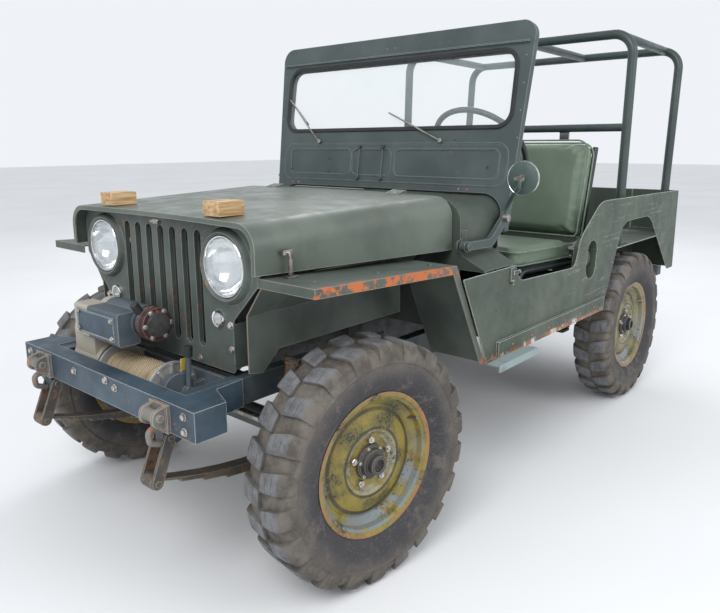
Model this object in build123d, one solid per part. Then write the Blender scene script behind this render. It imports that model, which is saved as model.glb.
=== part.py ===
from build123d import *
import math
import os

# Open 4x4 utility car, 1950s type, with front winch and roll cage.
# Millimetres. +X is the car's left, -Y is its front, +Z is up.
# The origin lies on the ground, midway along the car.

# Wheels and axles
WHEELBASE = 2032.0
FRONT_AXLE_Y = -1095.0
TYRE_R = 376.0
WHEEL_X = 640.0
KING_PIN_X = 560.0
REST_STEER = -7.0
TYRE_HALF_W = 92.0
TREAD_HALF_W = 80.0
LUG_COUNT = 22
LUG_DEPTH = 16.0
LUG_WIDTH = 60.0
LUG_SWEEP = 14.0
LUG_FOOT_R = 319.0
LUG_FOOT_X = 91.0
RIM_R = 222.0
RIM_HALF_W = 68.0
BEAD_R = 203.0
DISC_X = 18.0
DRUM_R = 130.0
HUB_R = 38.0
NUT_CIRCLE_R = 70.0
AXLE_TUBE_R = 38.0
BALL_R = 52.0
DIFF_X = -150.0
DIFF_R = 112.0
TIE_ROD_Y = -140.0
TIE_ROD_R = 13.0
TIE_PIN_R = 6.0

# Springs, frame
SPRING_X = 330.0
SPRING_W = 44.0
LEAF_T = 7.0
LEAF_COUNT = 7
LEAF_RISE = 12.0
SEAT_HALF = 46.0
EYE_R = 19.0
EYE_PIN_R = 9.0
CHEEK_X = 23.0
CHEEK_T = 8.0
FRAME_OUT_X = 371.0
RAIL_W = 46.0
RAIL_WALL = 5.0
RAIL_TOP_FRONT = 628.0
RAIL_DEPTH = 82.0

# Seat place, fixed eye, swinging eye and frame pin of each spring, as (distance, z)
SPRING_TABLE = (
    (0.0, (400, 424), (-532, 406), (-484, 524)),
    (WHEELBASE, (WHEELBASE - 500, 440), (WHEELBASE + 500, 424), (WHEELBASE + 508, 510)),
)

# Bumper and winch
BUMPER_HALF_W = 493.0
BUMPER_Y = -496.0
BUMPER_TOP = 634.0
BUMPER_H = 86.0
BUMPER_D = 60.0
BUMPER_T = 7.0
WINCH_Y = -346.0
WINCH_Z = 578.0
DRUM_X0 = -130.0
DRUM_X1 = 170.0
DRUM_FLANGE_R = 86.0
DRUM_ROPE_R = 66.0
DRUM_BORE_R = 16.0
TOW_X = 342.0

# Body shell
SHEET = 4.0
BODY_HALF_W = 712.0
BODY_REAR_Y = WHEELBASE + 606.0
SILL_Z = 543.0
RAIL_Z = 1048.0
COWL_Y0 = 560.0
COWL_Y1 = 840.0
COWL_HALF_W = 600.0
COWL_TOP_Z = 1106.0
COWL_R = 78.0
TOE_END_Y = 765.0
SHOULDER_Z = 866.0
SHOULDER_IN_Z = 922.0
FLOOR_Z = 572.0
CARGO_FLOOR_Z = 646.0
WHEELHOUSE_X = 470.0
WHEELHOUSE_Y0 = WHEELBASE - 452.0
ARCH_FRONT = WHEELBASE - 420.0
ARCH_REAR = WHEELBASE + 513.0
DOOR_REAR = WHEELBASE - 502.0
FILLER_Y = WHEELBASE - 578.0
FILLER_Z = 796.0
WHEELHOUSE_Z = 812.0
GAP = 6.0
STEP_W = 62.0
STEP_Y0 = 560.0
STEP_Y1 = 842.0

# Hood, grille, fenders
HOOD_Y0 = -285.0
HOOD_HALF_W0 = 500.0
HOOD_TOP0 = 1096.0
HOOD_BOTTOM0 = 956.0
HOOD_HALF_W1 = 568.0
HOOD_TOP1 = 1121.0
HOOD_BOTTOM1 = 934.0
HOOD_R = 72.0
HOOD_CROWN = 5.0
HINGE_X = 330.0
HINGE_Y = 557.0
HINGE_Z = 1130.0
HINGE_R = 6.0
BLOCK_X = 290.0
BLOCK_H = 42.0
GRILLE_Y = -248.0
GRILLE_HALF_W = 474.0
GRILLE_LOW_HALF_W = 350.0
GRILLE_Z0 = 640.0
SLOT_COUNT = 7
SLOT_PITCH = 65.3
SLOT_W = 34.0
SLOT_Z0 = 696.0
SLOT_Z1 = 1056.0
LAMP_X = 332.0
LAMP_Z = 961.0
LAMP_R = 87.0
BEZEL_R = 114.0
MARKER_X = 287.0
MARKER_Z = 799.0
MARKER_R = 26.0
FENDER_OUT_X = BODY_HALF_W - 10.0
FENDER_Y0 = -262.0
FENDER_Y1 = 385.0
FENDER_Z0 = 946.0
FENDER_Z1 = 916.0
FENDER_LIP = 27.0
FENDER_FOOT_Y = 570.0
APRON_X = 400.0

# Windshield
WS_Y = 946.0
WS_TOP_Z = 1745.0
WS_TOP_HALF_W = 671.0
WS_LOW_HALF_W = 622.0
WS_LEG_Z = 974.0
WS_LEAN = 8.85
WS_T = 26.0
GLASS_HALF_W = 607.0
GLASS_TOP = 103.0
GLASS_BOTTOM = 389.0
GLASS_R = 62.0
GLASS_T = 5.0
WS_PIVOT_Y = 552.0
WS_PIVOT_Z = 951.0
WS_ARM_X = 628.0
WS_PIN_R = 8.0
MIRROR_R = 60.0

# Seats, cage, controls
SEAT_X = 395.0
SEAT_W = 450.0
SEAT_CORNER_R = 62.0
SEAT_Y = WHEELBASE - 1092.0
SEAT_TUBE_R = 12.5
PAN_Z0 = 812.0
PAN_Z1 = 792.0
CAGE_R = 22.0
CAGE_X = 681.0
CAGE_MAIN_Y = WHEELBASE - 147.0
CAGE_REAR_Y = WHEELBASE + 513.0
CAGE_TOP_Z = 1831.0
CAGE_REAR_TOP_Z = 1818.0
HARNESS_Z = 1374.0
STEER_X = 350.0
STEER_Y = 1082.0
STEER_Z = 1284.0
STEER_R = 215.0
STEER_RAKE = 42.0
COLUMN_R = 19.0
GATE_HALF_W = 452.0
GATE_TOP_Z = 1034.0
GATE_T = 26.0
GATE_HINGE_Y = BODY_REAR_Y + 14.0
GATE_HINGE_Z = CARGO_FLOOR_Z + 4.0
HITCH_R = 13.0


def fa(distance):
    """Place along Y of a point this far behind the front axle."""
    return FRONT_AXLE_Y + distance


def block(x0, x1, d0, d1, z0, z1):
    """Box between two corners, its Y limits counted from the front axle."""
    size = (x1 - x0, d1 - d0, z1 - z0)
    centre = ((x0 + x1) / 2, fa((d0 + d1) / 2), (z0 + z1) / 2)
    return Pos(*centre) * Box(*size)


def outline(points, radii=None):
    """Flat face from corner points, with rounded corners if radii are given."""
    if radii is None:
        return make_face(Polyline(*points, close=True))
    return make_face(FilletPolyline(*points, radius=radii, close=True))


def side_plate(points, x0, x1, radii=None):
    """Plate drawn in side view as (distance behind front axle, z)."""
    moved = [(fa(d), z) for d, z in points]
    face = Plane.YZ * outline(moved, radii)
    return Pos(x0, 0, 0) * extrude(face, x1 - x0, dir=(1, 0, 0))


def front_plate(points, d0, d1, radii=None):
    """Plate drawn in front view as (x, z), between two distances."""
    face = Plane.XZ * outline(points, radii)
    return Pos(0, fa(d0), 0) * extrude(face, d1 - d0, dir=(0, 1, 0))


def top_plate(points, z0, z1, radii=None):
    """Plate drawn in plan as (x, distance behind front axle)."""
    moved = [(x, fa(d)) for x, d in points]
    return Pos(0, 0, z0) * extrude(outline(moved, radii), z1 - z0, dir=(0, 0, 1))


def rod(start, end, radius):
    """Round bar between two points given as (x, distance, z)."""
    a = Vector(start[0], fa(start[1]), start[2])
    b = Vector(end[0], fa(end[1]), end[2])
    plane = Plane(origin=a, z_dir=b - a)
    return extrude(plane * Circle(radius), (b - a).length, dir=(b - a).normalized())


def bent_tube(points, bend, radius):
    """Round bar along a path of (x, distance, z) points with round bends."""
    path_points = [(x, fa(d), z) for x, d, z in points]
    path = FilletPolyline(*path_points, radius=bend)
    start = Plane(origin=path @ 0, z_dir=path % 0)
    return sweep(start * Circle(radius), path=path)


def turned(points, centre, axis="x"):
    """Solid of revolution about X from (x, radius) points, moved to a place."""
    shape = revolve(outline(points), Axis.X)
    if axis == "y":
        shape = Rot(0, 0, 90) * shape
    return Pos(centre[0], fa(centre[1]), centre[2]) * shape


def mirrored(shape):
    """The same piece for the right-hand side."""
    return shape.mirror(Plane.YZ)


def both(shape):
    """A piece and its mirror image in one solid or one pair."""
    return shape + mirrored(shape)


def joined(shapes):
    """All shapes fused together."""
    total = shapes[0]
    for shape in shapes[1:]:
        total = total + shape
    return total


# Wheels

def faceted_ring(points, steps):
    """Ring about X in flat facets, from a closed (x, radius) profile."""
    rows = []
    for i in range(steps):
        a = 2 * math.pi * i / steps
        rows.append([(x, -r * math.sin(a), r * math.cos(a)) for x, r in points])
    faces = []
    for row, after in zip(rows, rows[1:] + rows[:1]):
        for k in range(len(points)):
            corners = (row[k - 1], row[k], after[k], after[k - 1])
            faces.append(make_face(Polyline(*corners, close=True)))
    return Solid(Shell(faces))


def tyre_lug():
    """One tread bar with its buttress, standing up along Z from the axle."""
    half = LUG_WIDTH / 2
    shift = TYRE_HALF_W * math.tan(math.radians(LUG_SWEEP))
    top = math.sqrt(TYRE_R ** 2 - (half + shift) ** 2)
    deep = TYRE_R - LUG_DEPTH - 30
    inner_x = 4
    plan = [
        (inner_x, -half),
        (TYRE_HALF_W, -half + shift),
        (TYRE_HALF_W, half + shift),
        (inner_x, half),
    ]
    section = [
        (inner_x, deep),
        (inner_x, top),
        (TREAD_HALF_W + 2, top),
        (LUG_FOOT_X, LUG_FOOT_R),
        (TREAD_HALF_W - 8, deep),
    ]
    bar = extrude(outline(plan), TYRE_R, dir=(0, 0, 1))
    side = extrude(Plane.XZ * outline(section), LUG_WIDTH + shift, both=True)
    return bar & side


def tyre_shape():
    """Bar-lug tyre about X in flat facets, outer side towards +X."""
    base_r = TYRE_R - LUG_DEPTH
    grow = 1 / math.cos(math.pi / LUG_COUNT)
    half = [
        (RIM_HALF_W - 16, BEAD_R * grow),
        (TYRE_HALF_W, RIM_R + 66),
        (TREAD_HALF_W - 4, base_r),
    ]
    left = [(-x, r) for x, r in reversed(half)]
    inner_x = RIM_HALF_W - 26
    crown_x = TREAD_HALF_W - 26
    hollow = [
        (-inner_x, BEAD_R * grow),
        (-crown_x, base_r - 36),
        (crown_x, base_r - 36),
        (inner_x, BEAD_R * grow),
    ]
    carcass = faceted_ring(half + left + hollow, LUG_COUNT)
    lug = tyre_lug()
    step = 360.0 / LUG_COUNT
    pieces = []
    for i in range(LUG_COUNT):
        pieces.append(Rot(i * step, 0, 0) * lug)
        pieces.append(Rot((i + 0.5) * step, 0, 0) * lug.mirror(Plane.YZ))
    return carcass.fuse(*pieces)


def rim_shape():
    """Drop-centre rim, dished disc, brake drum and hub about X."""
    flange = RIM_HALF_W
    barrel = [
        (flange, RIM_R),
        (flange - 5, RIM_R),
        (flange - 8, BEAD_R),
        (flange - 38, BEAD_R - 3),
        (flange - 52, BEAD_R - 24),
        (-flange + 40, BEAD_R - 24),
        (-flange + 34, BEAD_R - 3),
        (-flange + 8, BEAD_R),
        (-flange + 5, RIM_R),
        (-flange, RIM_R),
        (-flange + 1, BEAD_R - 8),
        (-flange + 30, BEAD_R - 10),
        (-flange + 36, BEAD_R - 30),
        (flange - 56, BEAD_R - 30),
        (flange - 44, BEAD_R - 10),
        (flange - 1, BEAD_R - 8),
    ]
    disc = [
        (DISC_X - 6, BEAD_R - 26),
        (DISC_X, BEAD_R - 26),
        (DISC_X + 4, BEAD_R - 50),
        (DISC_X + 22, 112),
        (DISC_X + 22, 96),
        (DISC_X + 8, NUT_CIRCLE_R + 14),
        (DISC_X + 8, HUB_R - 6),
        (DISC_X + 2, HUB_R - 6),
        (DISC_X + 2, NUT_CIRCLE_R + 17),
        (DISC_X + 16, 98),
        (DISC_X + 16, 110),
        (DISC_X - 2, BEAD_R - 51),
    ]
    drum = [
        (-58, DRUM_R),
        (DISC_X - 2, DRUM_R),
        (DISC_X + 3, DRUM_R - 22),
        (DISC_X + 3, HUB_R - 10),
        (DISC_X - 6, HUB_R - 10),
        (DISC_X - 6, DRUM_R - 14),
        (-58, DRUM_R - 12),
    ]
    hub = [
        (-12, 24),
        (-12, HUB_R + 6),
        (DISC_X - 4, HUB_R + 6),
        (DISC_X + 9, HUB_R),
        (DISC_X + 30, HUB_R),
        (DISC_X + 34, HUB_R - 8),
        (DISC_X + 50, HUB_R - 10),
        (DISC_X + 53, HUB_R - 16),
        (DISC_X + 53, 0),
        (DISC_X + 34, 0),
        (DISC_X + 34, 24),
    ]
    shape = joined([revolve(outline(p), Axis.X) for p in (barrel, disc, drum, hub)])
    nut = Pos(DISC_X + 7, NUT_CIRCLE_R, 0) * Rot(0, 90, 0) * extrude(RegularPolygon(11, 6), 18)
    nuts = [Rot(i * 72, 0, 0) * nut for i in range(5)]
    return shape.fuse(*nuts)


def wheel_places():
    """Name and placing of each wheel; the front ones keep the parked lock."""
    offset = WHEEL_X - KING_PIN_X
    left_pin = Pos(KING_PIN_X, fa(0), TYRE_R) * Rot(0, 0, REST_STEER)
    right_pin = Pos(-KING_PIN_X, fa(0), TYRE_R) * Rot(0, 0, REST_STEER)
    return {
        "front_left": (left_pin * Pos(offset, 0, 0), False),
        "front_right": (right_pin * Pos(-offset, 0, 0), True),
        "rear_left": (Pos(WHEEL_X, fa(WHEELBASE), TYRE_R), False),
        "rear_right": (Pos(-WHEEL_X, fa(WHEELBASE), TYRE_R), True),
    }


# Axles, knuckles, steering linkage

def axle_tube(distance, reach, nose):
    """Tube with differential bowl; nose is +1 for a pinion that faces back."""
    tube = rod((-reach, distance, TYRE_R), (reach, distance, TYRE_R), AXLE_TUBE_R)
    bowl_points = [
        (-88, 0),
        (-88, 78),
        (-70, 96),
        (-62, DIFF_R + 6),
        (-48, DIFF_R + 6),
        (-40, DIFF_R),
        (20, 96),
        (70, 60),
        (165, 42),
        (178, 30),
        (178, 0),
    ]
    bowl = revolve(outline(bowl_points), Axis.X)
    bowl = Rot(0, 0, 90 * nose) * bowl
    slim = AXLE_TUBE_R - 4
    cone_points = [(-150, 0), (-150, slim), (-60, 74), (60, 74), (150, slim), (150, 0)]
    cone = revolve(outline(cone_points), Axis.X)
    place = Pos(DIFF_X, fa(distance), TYRE_R)
    return tube + place * bowl + place * cone


def axle_front_shape():
    """Front axle with ball ends and spring pads."""
    shape = axle_tube(0, KING_PIN_X - 30, 1)
    cut = 34
    high = math.sqrt(BALL_R ** 2 - cut ** 2)
    dome = ThreePointArc((cut, high), (0, BALL_R), (-BALL_R, 0))
    ball = revolve(make_face([Line((-BALL_R, 0), (cut, 0)), Line((cut, 0), (cut, high)), dome]), Axis.X)
    ball = Pos(KING_PIN_X, fa(0), TYRE_R) * ball
    pad = block(SPRING_X - 26, SPRING_X + 26, -42, 42, TYRE_R - AXLE_TUBE_R - 2, TYRE_R - 18)
    return shape + both(ball) + both(pad)


def axle_rear_shape():
    """Rear axle with backing plates and spring pads."""
    shape = axle_tube(WHEELBASE, WHEEL_X - 60, -1)
    plate_points = [(0, 0), (0, DRUM_R - 18), (5, DRUM_R - 6), (9, DRUM_R - 6), (9, 0)]
    plate = turned(plate_points, (WHEEL_X - 72, WHEELBASE, TYRE_R))
    pad = block(SPRING_X - 26, SPRING_X + 26, WHEELBASE - 42, WHEELBASE + 42,
                TYRE_R - AXLE_TUBE_R - 2, TYRE_R - 18)
    return shape + both(plate) + both(pad)


def knuckle_shape():
    """Left knuckle in its own frame: king pin on Z, wheel side towards +X."""
    r_in = BALL_R + 2
    r_out = BALL_R + 10
    back = -12
    diagonal = math.sqrt(0.5)
    high_out = math.sqrt(r_out ** 2 - back ** 2)
    high_in = math.sqrt(r_in ** 2 - back ** 2)
    outer = ThreePointArc((r_out, 0), (r_out * diagonal, r_out * diagonal), (back, high_out))
    inner = ThreePointArc((back, high_in), (r_in * diagonal, r_in * diagonal), (r_in, 0))
    rim = make_face([outer, Line(outer @ 1, inner @ 0), inner, Line(inner @ 1, outer @ 0)])
    shell = revolve(rim, Axis.X)
    cap = Pos(0, 0, r_in + 10) * Cylinder(20, 18)
    low_cap = Pos(0, 0, -r_in - 10) * Cylinder(20, 18)
    reach = WHEEL_X - KING_PIN_X + 46
    collar = r_out + 4
    spindle_points = [(r_in + 1, 0), (r_in + 1, 34), (collar, 30), (collar, 20), (reach, 20), (reach, 0)]
    spindle = revolve(outline(spindle_points), Axis.X)
    edge = DRUM_R - 6
    plate_points = [(8, r_in + 4), (8, edge - 10), (14, edge), (19, edge), (19, r_in + 2)]
    plate = revolve(outline(plate_points), Axis.X)
    arm_points = [(-14, -26), (14, -26), (12, TIE_ROD_Y - 14), (-12, TIE_ROD_Y - 14)]
    arm = Pos(0, 0, BALL_R + 1) * extrude(outline(arm_points, 6), 12, dir=(0, 0, 1))
    pin = Pos(0, TIE_ROD_Y, BALL_R + 29) * Cylinder(TIE_PIN_R, 34)
    return joined([shell, cap, low_cap, spindle, plate, arm, pin])


def arm_pin_place(side):
    """Plan place of a steering arm's pin with the parked lock."""
    a = math.radians(REST_STEER)
    x = side * KING_PIN_X - TIE_ROD_Y * math.sin(a)
    return x, fa(0) + TIE_ROD_Y * math.cos(a)


def tie_rod_shape():
    """Cross rod from the left steering arm to the right, straight along X."""
    z = TYRE_R + BALL_R + 13 + 4 + TIE_ROD_R
    left = arm_pin_place(1)
    right = arm_pin_place(-1)
    bar = rod((left[0] - 12, left[1] - fa(0), z), (right[0] + 12, right[1] - fa(0), z), TIE_ROD_R)
    for x, y in (left, right):
        bar = bar + Pos(x, y, z) * Cylinder(19, 2 * TIE_ROD_R - 2)
    for x, y in (left, right):
        bar = bar - Pos(x, y, z) * Cylinder(TIE_PIN_R + 0.5, 60)
    return bar


# Springs, shafts, engine

def leaf_stack(eye_a, eye_b, seat_d, seat_z):
    """One leaf spring: eyes as (distance, z), top of the pack at the seat."""
    def place(eye, share):
        run = eye[0] - math.copysign(SEAT_HALF, eye[0] - seat_d) - seat_d
        d = seat_d + math.copysign(SEAT_HALF, run) + run * share
        return d, seat_z + (eye[1] + LEAF_RISE - seat_z) * share ** 2

    steps = 6
    high = [place(eye_a, i / steps) for i in range(steps, -1, -1)]
    high = high + [place(eye_b, i / steps) for i in range(steps + 1)]
    shares = [max(0, 1 - 0.16 * i) for i in range(LEAF_COUNT + 1)]
    low = []
    for i in range(LEAF_COUNT):
        for share in shares[i:i + 2]:
            d, z = place(eye_b, share)
            low.append((d, z - (i + 1) * LEAF_T))
    for i in range(LEAF_COUNT - 1, -1, -1):
        for share in (shares[i + 1], shares[i]):
            d, z = place(eye_a, share)
            low.append((d, z - (i + 1) * LEAF_T))
    pack = side_plate(high + low, SPRING_X - SPRING_W / 2, SPRING_X + SPRING_W / 2)
    for d, z in (eye_a, eye_b):
        pack = pack + rod((SPRING_X - SPRING_W / 2, d, z), (SPRING_X + SPRING_W / 2, d, z), EYE_R)
    return pack


def springs_shape():
    """Four leaf springs with shackles, eye bolts and seat clips."""
    seat_z = TYRE_R - AXLE_TUBE_R - 2
    shapes = []
    for seat, fixed, swing, pin in SPRING_TABLE:
        front, back = (swing, fixed) if swing[0] < fixed[0] else (fixed, swing)
        pieces = [leaf_stack(front, back, seat, seat_z)]
        low = seat_z - LEAF_COUNT * LEAF_T
        pieces.append(block(SPRING_X - 30, SPRING_X + 30, seat - 40, seat + 40, low - 12, low + 2))
        run = math.hypot(pin[0] - swing[0], pin[1] - swing[1])
        along = math.degrees(math.atan2(pin[1] - swing[1], pin[0] - swing[0]))
        middle = (fa((swing[0] + pin[0]) / 2), (swing[1] + pin[1]) / 2)
        link = Pos(*middle) * Rot(0, 0, along) * SlotCenterToCenter(run, 34)
        for x in (SPRING_X - CHEEK_X - CHEEK_T, SPRING_X + CHEEK_X):
            pieces.append(Pos(x, 0, 0) * extrude(Plane.YZ * link, CHEEK_T, dir=(1, 0, 0)))
        for d, z in (swing, pin, fixed):
            pieces.append(rod((SPRING_X - 36, d, z), (SPRING_X + 36, d, z), EYE_PIN_R))
        shapes.append(both(joined(pieces)))
    return shapes[0] + shapes[1]


def spring_hangers():
    """Brackets under the left rail that carry the spring pins."""
    shapes = []
    for seat, fixed, swing, pin in SPRING_TABLE:
        d, z = fixed
        top = 474
        reach = CHEEK_X + CHEEK_T
        pad = block(SPRING_X - reach, SPRING_X + reach, d - 20, d + 20, z + EYE_R + 2, top)
        for x in (SPRING_X - CHEEK_X - CHEEK_T, SPRING_X + CHEEK_X):
            cheek = block(x, x + CHEEK_T, d - 20, d + 20, z - 16, z + EYE_R + 3)
            pad = pad + cheek
        pad = pad - rod((SPRING_X - 50, d, z), (SPRING_X + 50, d, z), EYE_PIN_R + 0.5)
        shapes.append(pad)
        d, z = pin
        if seat == 0:
            outline_points = [
                (d - 16, z - 14),
                (d + 16, z - 14),
                (-380, 530),
                (-380, 549),
                (-434, 549),
                (-434, 545),
                (d - 16, 545),
            ]
        else:
            outline_points = [(d - 16, z - 14), (d + 16, z - 14), (d + 20, 540), (d - 20, 540)]
        lug = side_plate(outline_points, SPRING_X - 19, SPRING_X + 19)
        shapes.append(lug - rod((SPRING_X - 30, d, z), (SPRING_X + 30, d, z), EYE_PIN_R + 0.5))
    return joined(shapes)


def shocks_shape():
    """Four telescopic dampers between spring clips and frame studs."""
    table = (
        # upper distance and z, lower distance and z
        (-72, 650, -88, 350),
        (WHEELBASE + 150, 590, WHEELBASE + 84, 345),
    )
    x = SPRING_X + 80
    shapes = []
    for top_d, top_z, low_d, low_z in table:
        mid = (x, (top_d + low_d) / 2, (top_z + low_z) / 2)
        upper = rod((x, top_d, top_z), mid, 27)
        lower = rod(mid, (x, low_d, low_z), 22)
        stud_top = rod((FRAME_OUT_X, top_d, top_z), (x + 30, top_d, top_z), 11)
        stud_low = rod((SPRING_X + 26, low_d, low_z), (x + 26, low_d, low_z), 9)
        shapes.append(both(upper + lower + stud_top + stud_low))
    return joined(shapes)


def driveshafts_shape():
    """Two open shafts between transfer case and axle pinions."""
    table = (
        (DIFF_X, 180, 794, 430),
        (DIFF_X, WHEELBASE - 180, 1156, 430),
    )
    shapes = []
    for x, axle_d, case_d, case_z in table:
        start = axle_d + math.copysign(6, case_d - axle_d)
        shaft = rod((x, start, TYRE_R), (x, case_d, case_z), 25)
        yoke = rod((x, axle_d, TYRE_R), (x, axle_d + math.copysign(26, case_d - axle_d), TYRE_R), 44)
        shapes.append(shaft + yoke)
    return shapes[0] + shapes[1]


def engine_shape():
    """Engine and gearbox as plain blocks at their real place."""
    block_part = block(-120, 120, -60, 470, 560, 900)
    sump = block(-100, 100, 130, 440, 476, 561)
    head = block(-90, 60, -40, 440, 899, 960)
    bell = block(-150, 150, 469, 552, 500, 780)
    gearbox = block(-90, 70, 551, 800, 500, 640)
    transfer = block(-220, 60, 799, 1150, 400, 545)
    joint = block(-90, 60, 760, 830, 500, 545)
    return joined([block_part, sump, head, bell, gearbox, transfer, joint])


def radiator_shape():
    """Radiator core with top and bottom tanks and a filler neck."""
    core = block(-230, 230, -190, -140, 690, 1010)
    top = block(-240, 240, -196, -130, 1009, 1052)
    low = block(-240, 240, -196, -130, 660, 691)
    neck = rod((0, -163, 1050), (0, -163, 1072), 28)
    return core + top + low + neck


def exhaust_shape():
    """Pipe, muffler and tail pipe on the right side."""
    x = -242
    start = WHEELBASE - 742
    end = WHEELBASE - 472
    outlet = WHEELBASE - 352
    pipe = bent_tube([(-160, 240, 700), (-160, 240, 462), (x, 560, 446), (x, start + 10, 446)], 60, 20)
    muffler = rod((x, start, 438), (x, end, 438), 50)
    tail = bent_tube([(x, end - 10, 438), (x, outlet, 438), (x - 250, outlet, 438)], 50, 18)
    return pipe + muffler + tail


# Frame and bumper

def frame_shape():
    """Two channel rails with cross members."""
    table = (
        # distance, bottom z, top z
        (-436, 546, 628),
        (-110, 546, 628),
        (60, 520, 628),
        (380, 470, 566),
        (WHEELBASE - 316, 470, 566),
        (WHEELBASE - 162, 540, 636),
        (WHEELBASE + 218, 540, 636),
        (WHEELBASE + 558, 530, 636),
    )
    low = [(d, z) for d, z, top in table]
    high = [(d, top) for d, z, top in reversed(table)]
    x1 = FRAME_OUT_X
    x0 = x1 - RAIL_W
    rail = side_plate(low + high, x0, x1)
    inner_low = [(d, z + RAIL_WALL) for d, z, top in table]
    inner_high = [(d, top - RAIL_WALL) for d, z, top in reversed(table)]
    pocket = side_plate(inner_low + inner_high, x0 - 1, x1 - RAIL_WALL)
    rail = rail - pocket
    members = (
        # distance, length along Y, bottom z, top z
        (-200, 46, 552, 606),
        (590, 60, 476, 496),
        (1180, 90, 476, 560),
        (WHEELBASE - 132, 60, 548, 630),
        (WHEELBASE + 498, 60, 536, 630),
    )
    shape = both(rail)
    for d, length, z0, z1 in members:
        beam = block(-x1 + RAIL_WALL - 1, x1 - RAIL_WALL + 1, d, d + length, z0, z1)
        hollow = block(-x1, x1, d + 5, d + length - 5, z0 - 1, z1 - 5)
        shape = shape + (beam - hollow)
    return shape + both(spring_hangers())


def bumper_shape():
    """Channel bumper with side plates that run back to the rails."""
    half = BUMPER_HALF_W
    y0 = BUMPER_Y
    z1 = BUMPER_TOP
    z0 = z1 - BUMPER_H
    beam = block(-half, half, y0, y0 + BUMPER_D, z0, z1)
    y1 = y0 + BUMPER_D + 1
    beam = beam - block(-half - 1, half + 1, y0 + BUMPER_T, y1, z0 + BUMPER_T, z1 - BUMPER_T)
    plan = [
        (half, y0),
        (half, y0 + 102),
        (FRAME_OUT_X + 24, y0 + 144),
        (FRAME_OUT_X + 14, y0 + 246),
        (FRAME_OUT_X + 1, y0 + 246),
        (FRAME_OUT_X + 1, y0),
    ]
    gusset = top_plate(plan, z0, z1)
    inner = [
        (half - 8, y0 + BUMPER_T),
        (half - 8, y0 + 97),
        (FRAME_OUT_X + 18, y0 + 138),
        (FRAME_OUT_X + 8, y0 + 247),
        (FRAME_OUT_X, y0 + 247),
        (FRAME_OUT_X, y0 + BUMPER_T),
    ]
    gusset = gusset - top_plate(inner, z0 - 1, z1 - 6)
    return beam + both(gusset)


def tow_shape():
    """Left tow shackle: base plate, two ears, spool on its pin, hooked tail."""
    y0 = BUMPER_Y
    base = block(TOW_X - 42, TOW_X + 42, y0 - 10, y0, 548, 628)
    ear_outline = [(y0 - 1, 556), (y0 - 1, 626), (y0 - 46, 616), (y0 - 50, 576)]
    ears = None
    for x in (TOW_X - 34, TOW_X + 22):
        ear = side_plate(ear_outline, x, x + 12, [2, 2, 20, 20])
        ears = ear if ears is None else ears + ear
    pin = rod((TOW_X - 40, y0 - 28, 596), (TOW_X + 40, y0 - 28, 596), 10)
    spool = rod((TOW_X - 23, y0 - 28, 596), (TOW_X + 23, y0 - 28, 596), 17)
    bow = [(-16, 560), (-44, 556), (-40, 520), (-8, 508)]
    tail = bent_tube([(TOW_X, y0 + d, z) for d, z in bow], 14, 9)
    return base + ears + pin + spool + tail


def winch_shape():
    """Winch frame, gear case, motor and control box between the rails."""
    y = WINCH_Y
    z = WINCH_Z
    front = BUMPER_Y + BUMPER_D + 0.5
    back = -240
    rear_bar = block(-324, 324, back - 10, back, 552, 616)
    case = rod((-300, y, z + 14), (-142, y, z + 14), 76) + rod((-292, y, z + 118), (-168, y, z + 118), 66)
    case = case + block(-290, -162, y - 66, y + 66, z + 14, z + 118)
    foot = block(-280, -160, front, back - 9, 552, 566)
    end = rod((178, y, z), (204, y, z), 56) + block(180, 200, front, back - 9, 552, 590)
    lever = rod((216, y + 24, z), (216, y + 30, z + 110), 8) + rod((200, y + 24, z), (224, y + 24, z), 13)
    motor = rod((-172, y + 4, z + 190), (104, y + 4, z + 190), 50)
    box = block(-226, 40, y - 92, y - 20, 702, 806)
    box = fillet(box.edges().filter_by(Axis.X), 8)
    shaft = rod((-150, y, z), (190, y, z), DRUM_BORE_R - 2)
    return joined([rear_bar, case, foot, end, lever, motor, box, shaft])


def winch_drum_shape():
    """Drum with flanges and the wound rope as one ribbed body about X."""
    half = [(DRUM_BORE_R, 0), (DRUM_FLANGE_R, 0), (DRUM_FLANGE_R, 8), (DRUM_ROPE_R, 8)]
    points = [(DRUM_X0 + depth, r) for r, depth in half]
    points = points + [(DRUM_X1 - depth, r) for r, depth in reversed(half)]
    return turned(points, (0, WINCH_Y, WINCH_Z))


# Grille, lamps, hood, fenders

def hood_section(inset, distance, share, bottom_drop=0.0):
    """Inverted-U face drawn inwards by an inset; share is 0 at the front, 1 at the cowl."""
    half = HOOD_HALF_W0 + (HOOD_HALF_W1 - HOOD_HALF_W0) * share - inset
    top = HOOD_TOP0 + (HOOD_TOP1 - HOOD_TOP0) * share - inset
    bottom = HOOD_BOTTOM0 + (HOOD_BOTTOM1 - HOOD_BOTTOM0) * share - bottom_drop
    radius = HOOD_R - inset
    ease = radius * (1 - math.sqrt(0.5))
    left = Line((-half, bottom), (-half, top - radius))
    turn_a = ThreePointArc((-half, top - radius), (-half + ease, top - ease), (-half + radius, top))
    crest = ThreePointArc((-half + radius, top), (0, top + HOOD_CROWN), (half - radius, top))
    turn_b = ThreePointArc((half - radius, top), (half - ease, top - ease), (half, top - radius))
    right = Line((half, top - radius), (half, bottom))
    base = Line((half, bottom), (-half, bottom))
    face = make_face([left, turn_a, crest, turn_b, right, base])
    return Pos(0, fa(distance), 0) * (Plane.XZ * face)


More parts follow.
